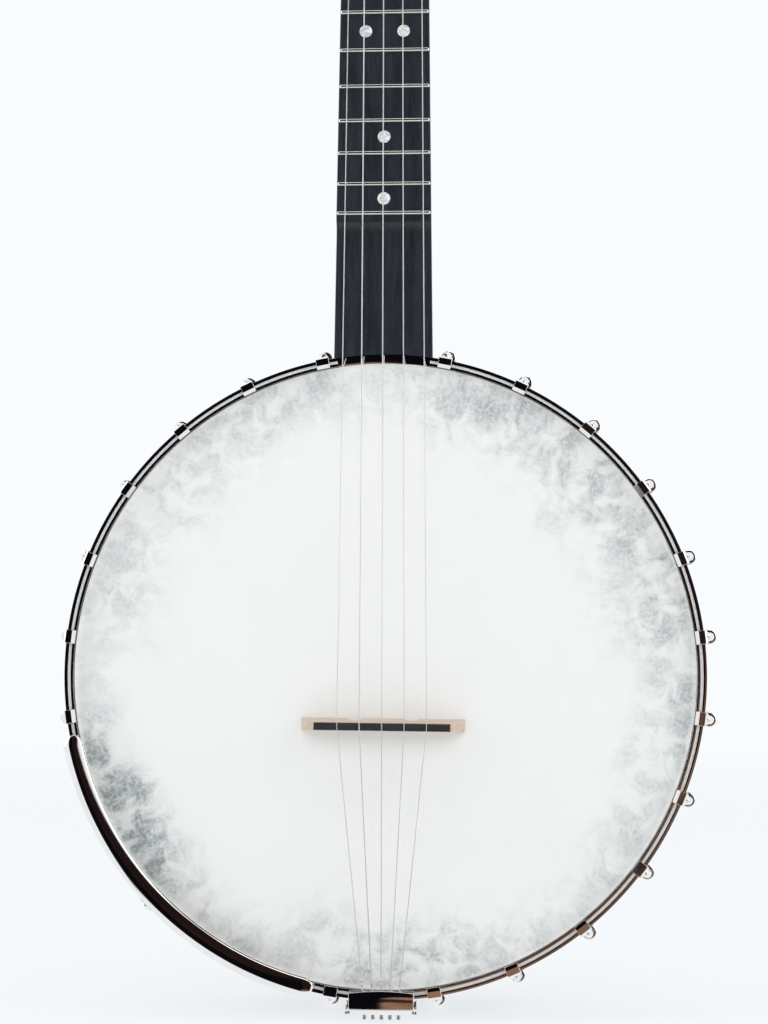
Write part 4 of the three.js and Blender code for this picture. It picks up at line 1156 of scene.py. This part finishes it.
def make_tuners():
    back = PEGHEAD_THICK + GAP
    for string, x, z in TUNERS:
        place = PEGHEAD @ Matrix.Translation((x, 0, z))
        name = f"tuner_{string}"
        bore = POST_R + 0.4
        sleeve = [(bore, -3.0), (4.9, -3.0), (4.9, back), (bore, back)]
        piece(f"{name}_sleeve", *turned(sleeve, 40, loop=True), NICKEL_SATIN, "nickel", place=place,
              replaces=(f"{name}_housing",))
        ring = [(5.0, -0.9), (7.0, -0.9), (7.2, -0.5), (7.2, -0.25), (5.0, -0.25)]
        piece(f"{name}_washer", *turned(ring, 40, loop=True), NICKEL, "nickel", place=place)
        piece(f"{name}_hex_nut", *bushing_nut(), NICKEL, "nickel", place=place, sharp=25)
        barrel = [(bore, back)] + [(r, back + y) for r, y in (
            (7.2, 0), (7.6, 0.6), (7.6, 2.2), (7.2, 2.6), (7.2, 3.2), (7.6, 3.6))]
        barrel += [(7.6, HOUSING_BACK_Y - 3.5)]
        barrel += arc((7.6 - 3, HOUSING_BACK_Y - 3.4), 3, 0, 80, 6) + [(bore, HOUSING_BACK_Y)]
        piece(f"{name}_barrel", *turned(barrel, 48, loop=True), NICKEL, "nickel", place=place)
        waist = POST_R - 0.6
        foot_y = PEGHEAD_THICK + 4
        post = [(r, POST_TIP_Y + y) for r, y in (
            (0, 0), (waist, 0), (POST_R - 0.15, 0.3), (POST_R, 1), (POST_R, 2.2), (waist, 3.6))]
        post += [(waist, -7.4), (POST_R, -5.4), (POST_R, foot_y), (0, foot_y)]
        body = f"{name}_post"
        made = piece(f"{name}_capstan", *turned(post, 40), NICKEL, "nickel", body=body, place=place,
                     replaces=(body,))
        drill = loose("drill", *tube([(-6, -9.8, 0), (6, -9.8, 0)], 0.85, 20), place=place)
        cut_away(made, drill)
        bpy.data.objects.remove(drill)
        r = STRING_R[string]
        winding(place, waist, -9.2, r, 5, f"{name}_winding", body)
        button(name, place, HOUSING_BACK_Y + 1.5, f"{name}_knob")
    make_fifth_tuner()


def bushing_nut():
    """A round-bored hexagonal ring, from circles of 24 points."""
    sides, bore = 24, 5.0
    rings = []
    for r, y in ((bore, -3.2), (6.6, -3.2), (6.6, -0.95), (bore, -0.95), (bore, -3.2)):
        ring = []
        for k in range(sides):
            a = TAU * k / sides
            flat = math.cos(TAU / 12) / math.cos(a % (TAU / 6) - TAU / 12) if r > bore else 1
            ring.append((r * flat * math.sin(a), y, r * flat * math.cos(a)))
        rings.append(ring)
    return lofted(rings, caps=False)


FIFTH_POST, FIFTH_BARREL_END, FIFTH_POST_R = (1.2, 7.4), 21, 3.6


def make_fifth_tuner():
    place = (NECK @ Matrix.Translation((bass_edge(FIFTH_Z) - 0.6, FIFTH_Y, FIFTH_Z))
             @ Matrix.Rotation(math.pi / 2, 4, "Z"))
    flat = FIFTH_POST[1] + GAP
    under = FIFTH_POST[0] - GAP
    ferrule = [(0, -5), (4.5, -5), (4.5, 0), (6, 0), (6, under), (1.5, under), (1.5, flat), (0, flat)]
    piece("tuner_5_ferrule", *turned(ferrule, 40), NICKEL, "nickel", place=place, bevel=0.15,
          replaces=("tuner_5_housing",))
    end = FIFTH_BARREL_END
    barrel = [(3, flat + 3), (1.5, flat + 2.9), (1.5, flat), (6.4, flat), (7, flat + 0.6), (7, flat + 2.4),
              (6.6, flat + 2.8), (6.6, flat + 3.4), (7, flat + 3.8), (7, end - 3)]
    barrel += arc((4.2, end - 2.9), 2.8, 0, 80, 6) + [(3, end)]
    piece("tuner_5_barrel", *turned(barrel, 48, loop=True), NICKEL, "nickel", place=place)
    low, high = FIFTH_POST
    waist = FIFTH_POST_R - 0.7
    wide = FIFTH_POST_R
    spool = [(1.9, low), (wide, low), (wide, low + 0.5), (waist, low + 1.4), (waist, high - 1.4),
             (wide, high - 0.5), (wide, high), (1.9, high)]
    piece("tuner_5_spool", *turned(spool, 40, loop=True), NICKEL, "nickel", body="tuner_5_post", place=place,
          replaces=("tuner_5_post",))
    winding(place, waist, low + 1.9, STRING_R[5], 5, "tuner_5_winding", "tuner_5_post")
    button("tuner_5", place, end + 1.5, "tuner_5_knob")


# ---------------------------------------------------------------- strings
def in_pot(matrix, x, y, z):
    return POT.inverted() @ matrix @ Vector((x, y, z))


def make_strings():
    for i, string in enumerate((5, 4, 3, 2, 1)):
        r = STRING_R[string]
        x = PIN_X[i]
        face = TAIL_FACE_Y - r - 0.05
        bridge = Vector((BRIDGE_X[i], BRIDGE_TOP_Y + 0.3 - r, BRIDGE_Z - BRIDGE_X[i] * math.sin(
            math.radians(BRIDGE_TURN_DEG))))
        top = Vector((x, face, TAIL_TOP_Z))
        points = [Vector((x, face, TAIL_LOW_Z - 0.2)), top, bridge]
        if string == 5:
            post_x = bass_edge(FIFTH_Z) - 0.6 - sum(FIFTH_POST) / 2
            edge_z = (FIFTH_NUT_Z + FIFTH_Z) / 2
            points += [in_pot(NECK, FIFTH_NUT_X, -2.05 - r, FIFTH_NUT_Z),
                       in_pot(NECK, bass_edge(edge_z) - r - 0.1, -r - 0.1, edge_z),
                       in_pot(NECK, post_x, FIFTH_Y - FIFTH_POST_R + 0.7 - r, FIFTH_Z)]
        else:
            nut_x = NUT_X[i - 1]
            tuner_x, tuner_z = next((tx, tz) for s, tx, tz in TUNERS if s == string)
            inner = tuner_x - math.copysign(POST_R - 0.6 + r, tuner_x)
            points += [in_pot(NECK, nut_x, NUT_TOP_Y + 0.3 - r, NUT_Z),
                       in_pot(NECK, nut_x, NUT_TOP_Y + 0.3 - r, NUT_Z + NUT_DEEP),
                       in_pot(PEGHEAD, inner, -8.6, tuner_z)]
        piece(f"string_{string}_wire", *tube(points, r, 10), STEEL, "string_steel",
              replaces=(f"string_{string}",))
        make_loop_end(string, x, r, top, bridge)


def make_loop_end(string, x, r, top, bridge):
    """The string's looped end: the loop round its pin and the twist that closes it."""
    along = (bridge - top).normalized()
    side = Vector((1, 0, 0))
    up = along.cross(side).normalized()
    length, start, turns, steps = 10.5, 0.5, 5, 50
    twist_wire_r, twist_offset, loop_wire_r, bend_r = 0.27, r + 0.26, 0.17, 0.95 + r
    twist = []
    for k in range(steps + 1):
        a = TAU * turns * k / steps
        around = side * math.cos(a) + up * math.sin(a)
        twist.append(top + along * (start + length * k / steps) + around * twist_offset)
    piece(f"string_{string}_twist", *tube(twist, twist_wire_r, 7), STEEL, "string_steel")
    loop = [Vector((x, TAIL_FACE_Y - r, TAIL_LOW_Z)), Vector((x - 0.5, 0.6, TAIL_LOW_Z - 1.3))]
    for k in range(13):
        a = math.pi + math.pi * k / 12
        loop.append(Vector((x + bend_r * math.cos(a), PIN_Y - bend_r * math.sin(a), TAIL_LOW_Z - 2.3)))
    loop += [Vector((x + 0.5, 0.6, TAIL_LOW_Z - 1.3)), Vector((x, TAIL_FACE_Y - r, TAIL_LOW_Z))]
    piece(f"string_{string}_loop", *tube(loop, loop_wire_r, 7), STEEL, "string_steel")


# ---------------------------------------------------------------- studio
PAPER = (0.945, 0.975, 1.0)


def floor_paper():
    """Pale paper that fades into the backdrop's own glow away from the banjo."""
    g = Graph("floor_paper")
    distance = g.vector("LENGTH", g.place, (0, 0, 0))
    far = g.between(distance, 0.5, 3.2)
    fleck = g.noise(g.place, 40, 3)
    near = g.blend(fleck, (0.18, 0.185, 0.19), (0.20, 0.205, 0.21))
    g.set(Base_Color=g.blend(far, near, (0.0, 0.0, 0.0)), Roughness=0.95)
    g.shader.inputs["Specular IOR Level"].default_value = 0.0
    g.shader.inputs["Emission Color"].default_value = (*PAPER, 1)
    g.feed(g.shader.inputs["Emission Strength"], g.between(far, 0.0, 1.0, 0.78, 1.0, "LINEAR"))
    return g.material


def make_stage():
    """A pale floor; beyond it the backdrop is the world's."""
    reach, rings, sides = 6.0, 12, 64
    verts, faces = turned([(reach * k / rings, 0) for k in range(rings + 1)], sides)
    mesh = bpy.data.meshes.new("floor")
    mesh.from_pydata([(x, z, -0.0005) for x, _, z in verts], [], faces)
    mesh.materials.append(floor_paper())
    obj = linked("floor", mesh)
    obj.visible_glossy = False


def area_light(name, place, aim, width, height, power):
    data = bpy.data.lights.new(name, "AREA")
    data.shape = "RECTANGLE"
    data.size, data.size_y = width, height
    data.energy = power
    obj = linked(name, data)
    obj.location = place
    obj.rotation_euler = (Vector(aim) - Vector(place)).to_track_quat("-Z", "Y").to_euler()
    return obj


def make_lights():
    centre = (0, 0, POT_Z * MM)
    area_light("softbox_left", (-1.5, -0.45, 0.75), centre, 0.8, 1.5, 6)
    area_light("softbox_right", (1.5, -0.55, 0.8), centre, 0.8, 1.5, 5)
    area_light("softbox_top", (0, -0.6, 1.9), centre, 2.0, 0.7, 3)
    fill = area_light("fill_front", (0.1, -2.0, 1.1), centre, 1.6, 1.2, 16)
    fill.visible_glossy = False
    bpy.context.scene.world = studio_walls()


def studio_walls():
    """What polished metal sees: bright walls to the sides, behind and below, and a dark room in front.

    The room in front is black to the left and warm brown to the right.
    """
    world = bpy.data.worlds.new("studio")
    world.use_nodes = True
    tree = world.node_tree
    background = tree.nodes["Background"]
    g = Graph.__new__(Graph)
    g.tree = tree
    direction = g.node("ShaderNodeTexCoord").outputs["Generated"]
    split = g.node("ShaderNodeSeparateXYZ")
    g.feed(split.inputs[0], direction)
    x, y, z = (split.outputs[axis] for axis in "XYZ")
    cloud = g.noise(direction, 5, 2)
    door = g.between(z, -0.15, -0.05, -0.045, 0.125)
    side = g.between(g.math("SUBTRACT", x, door), -0.015, 0.015)
    level = g.math("MULTIPLY_ADD", cloud, 0.10, z)
    band = g.between(g.math("ABSOLUTE", g.math("ADD", level, 0.13)), 0.03, 0.055, 0.08, 1.0)
    glow = g.math("MULTIPLY", g.between(z, -0.12, 0.05, 1.0, 0.03), g.between(x, 0.2, 0.34, 1.0, 0.3))
    ragged = g.between(cloud, 0.35, 0.6, 0.6, 1.0)
    lit = g.math("MULTIPLY", g.math("MULTIPLY", band, glow), ragged)
    brown = g.blend(lit, (0.012, 0.006, 0.006), (0.34, 0.185, 0.12))
    room = g.blend(side, (0.003, 0.003, 0.005), brown)
    beside = g.math("MAXIMUM", g.between(x, 0.50, 0.56), g.between(x, -0.60, -0.66))
    beyond = g.between(y, -0.42, -0.34)
    below = g.between(z, -0.46, -0.54)
    walls = g.math("MAXIMUM", g.math("MAXIMUM", beside, beyond), below)
    seen = g.blend(walls, room, (0.92, 0.94, 0.97))
    backdrop = g.node("ShaderNodeLightPath").outputs["Is Camera Ray"]
    g.feed(background.inputs["Color"], g.blend(backdrop, seen, PAPER))
    return world


def make_camera():
    data = bpy.data.cameras.new("camera")
    data.lens = 60
    data.sensor_width = 36
    obj = linked("camera", data)
    obj.location = (0.0378, -0.816, POT_Z * MM + 0.0019)
    forward = Vector((-0.0457, 0.9948, 0.0909)).normalized()
    up = Vector((0.0018, -0.0910, 0.9959))
    right = forward.cross(up).normalized()
    up = right.cross(forward)
    obj.rotation_mode = "QUATERNION"
    obj.rotation_quaternion = Matrix((right, up, -forward)).transposed().to_quaternion()
    bpy.context.scene.camera = obj


make_rim()
make_tone_ring()
make_head()
make_hoop()
make_rod()
make_brackets()
make_armrest()
make_armrest_bracket()
make_tailpiece()
make_bridge()
pot_shape = pot_cutter()
make_neck(pot_shape)
make_fingerboard(pot_shape)
bpy.data.objects.remove(pot_shape)
make_peghead()
make_frets()
make_dots()
make_nuts()
make_tuners()
make_strings()
make_stage()
make_lights()
make_camera()
bpy.context.scene.view_settings.view_transform = "Standard"
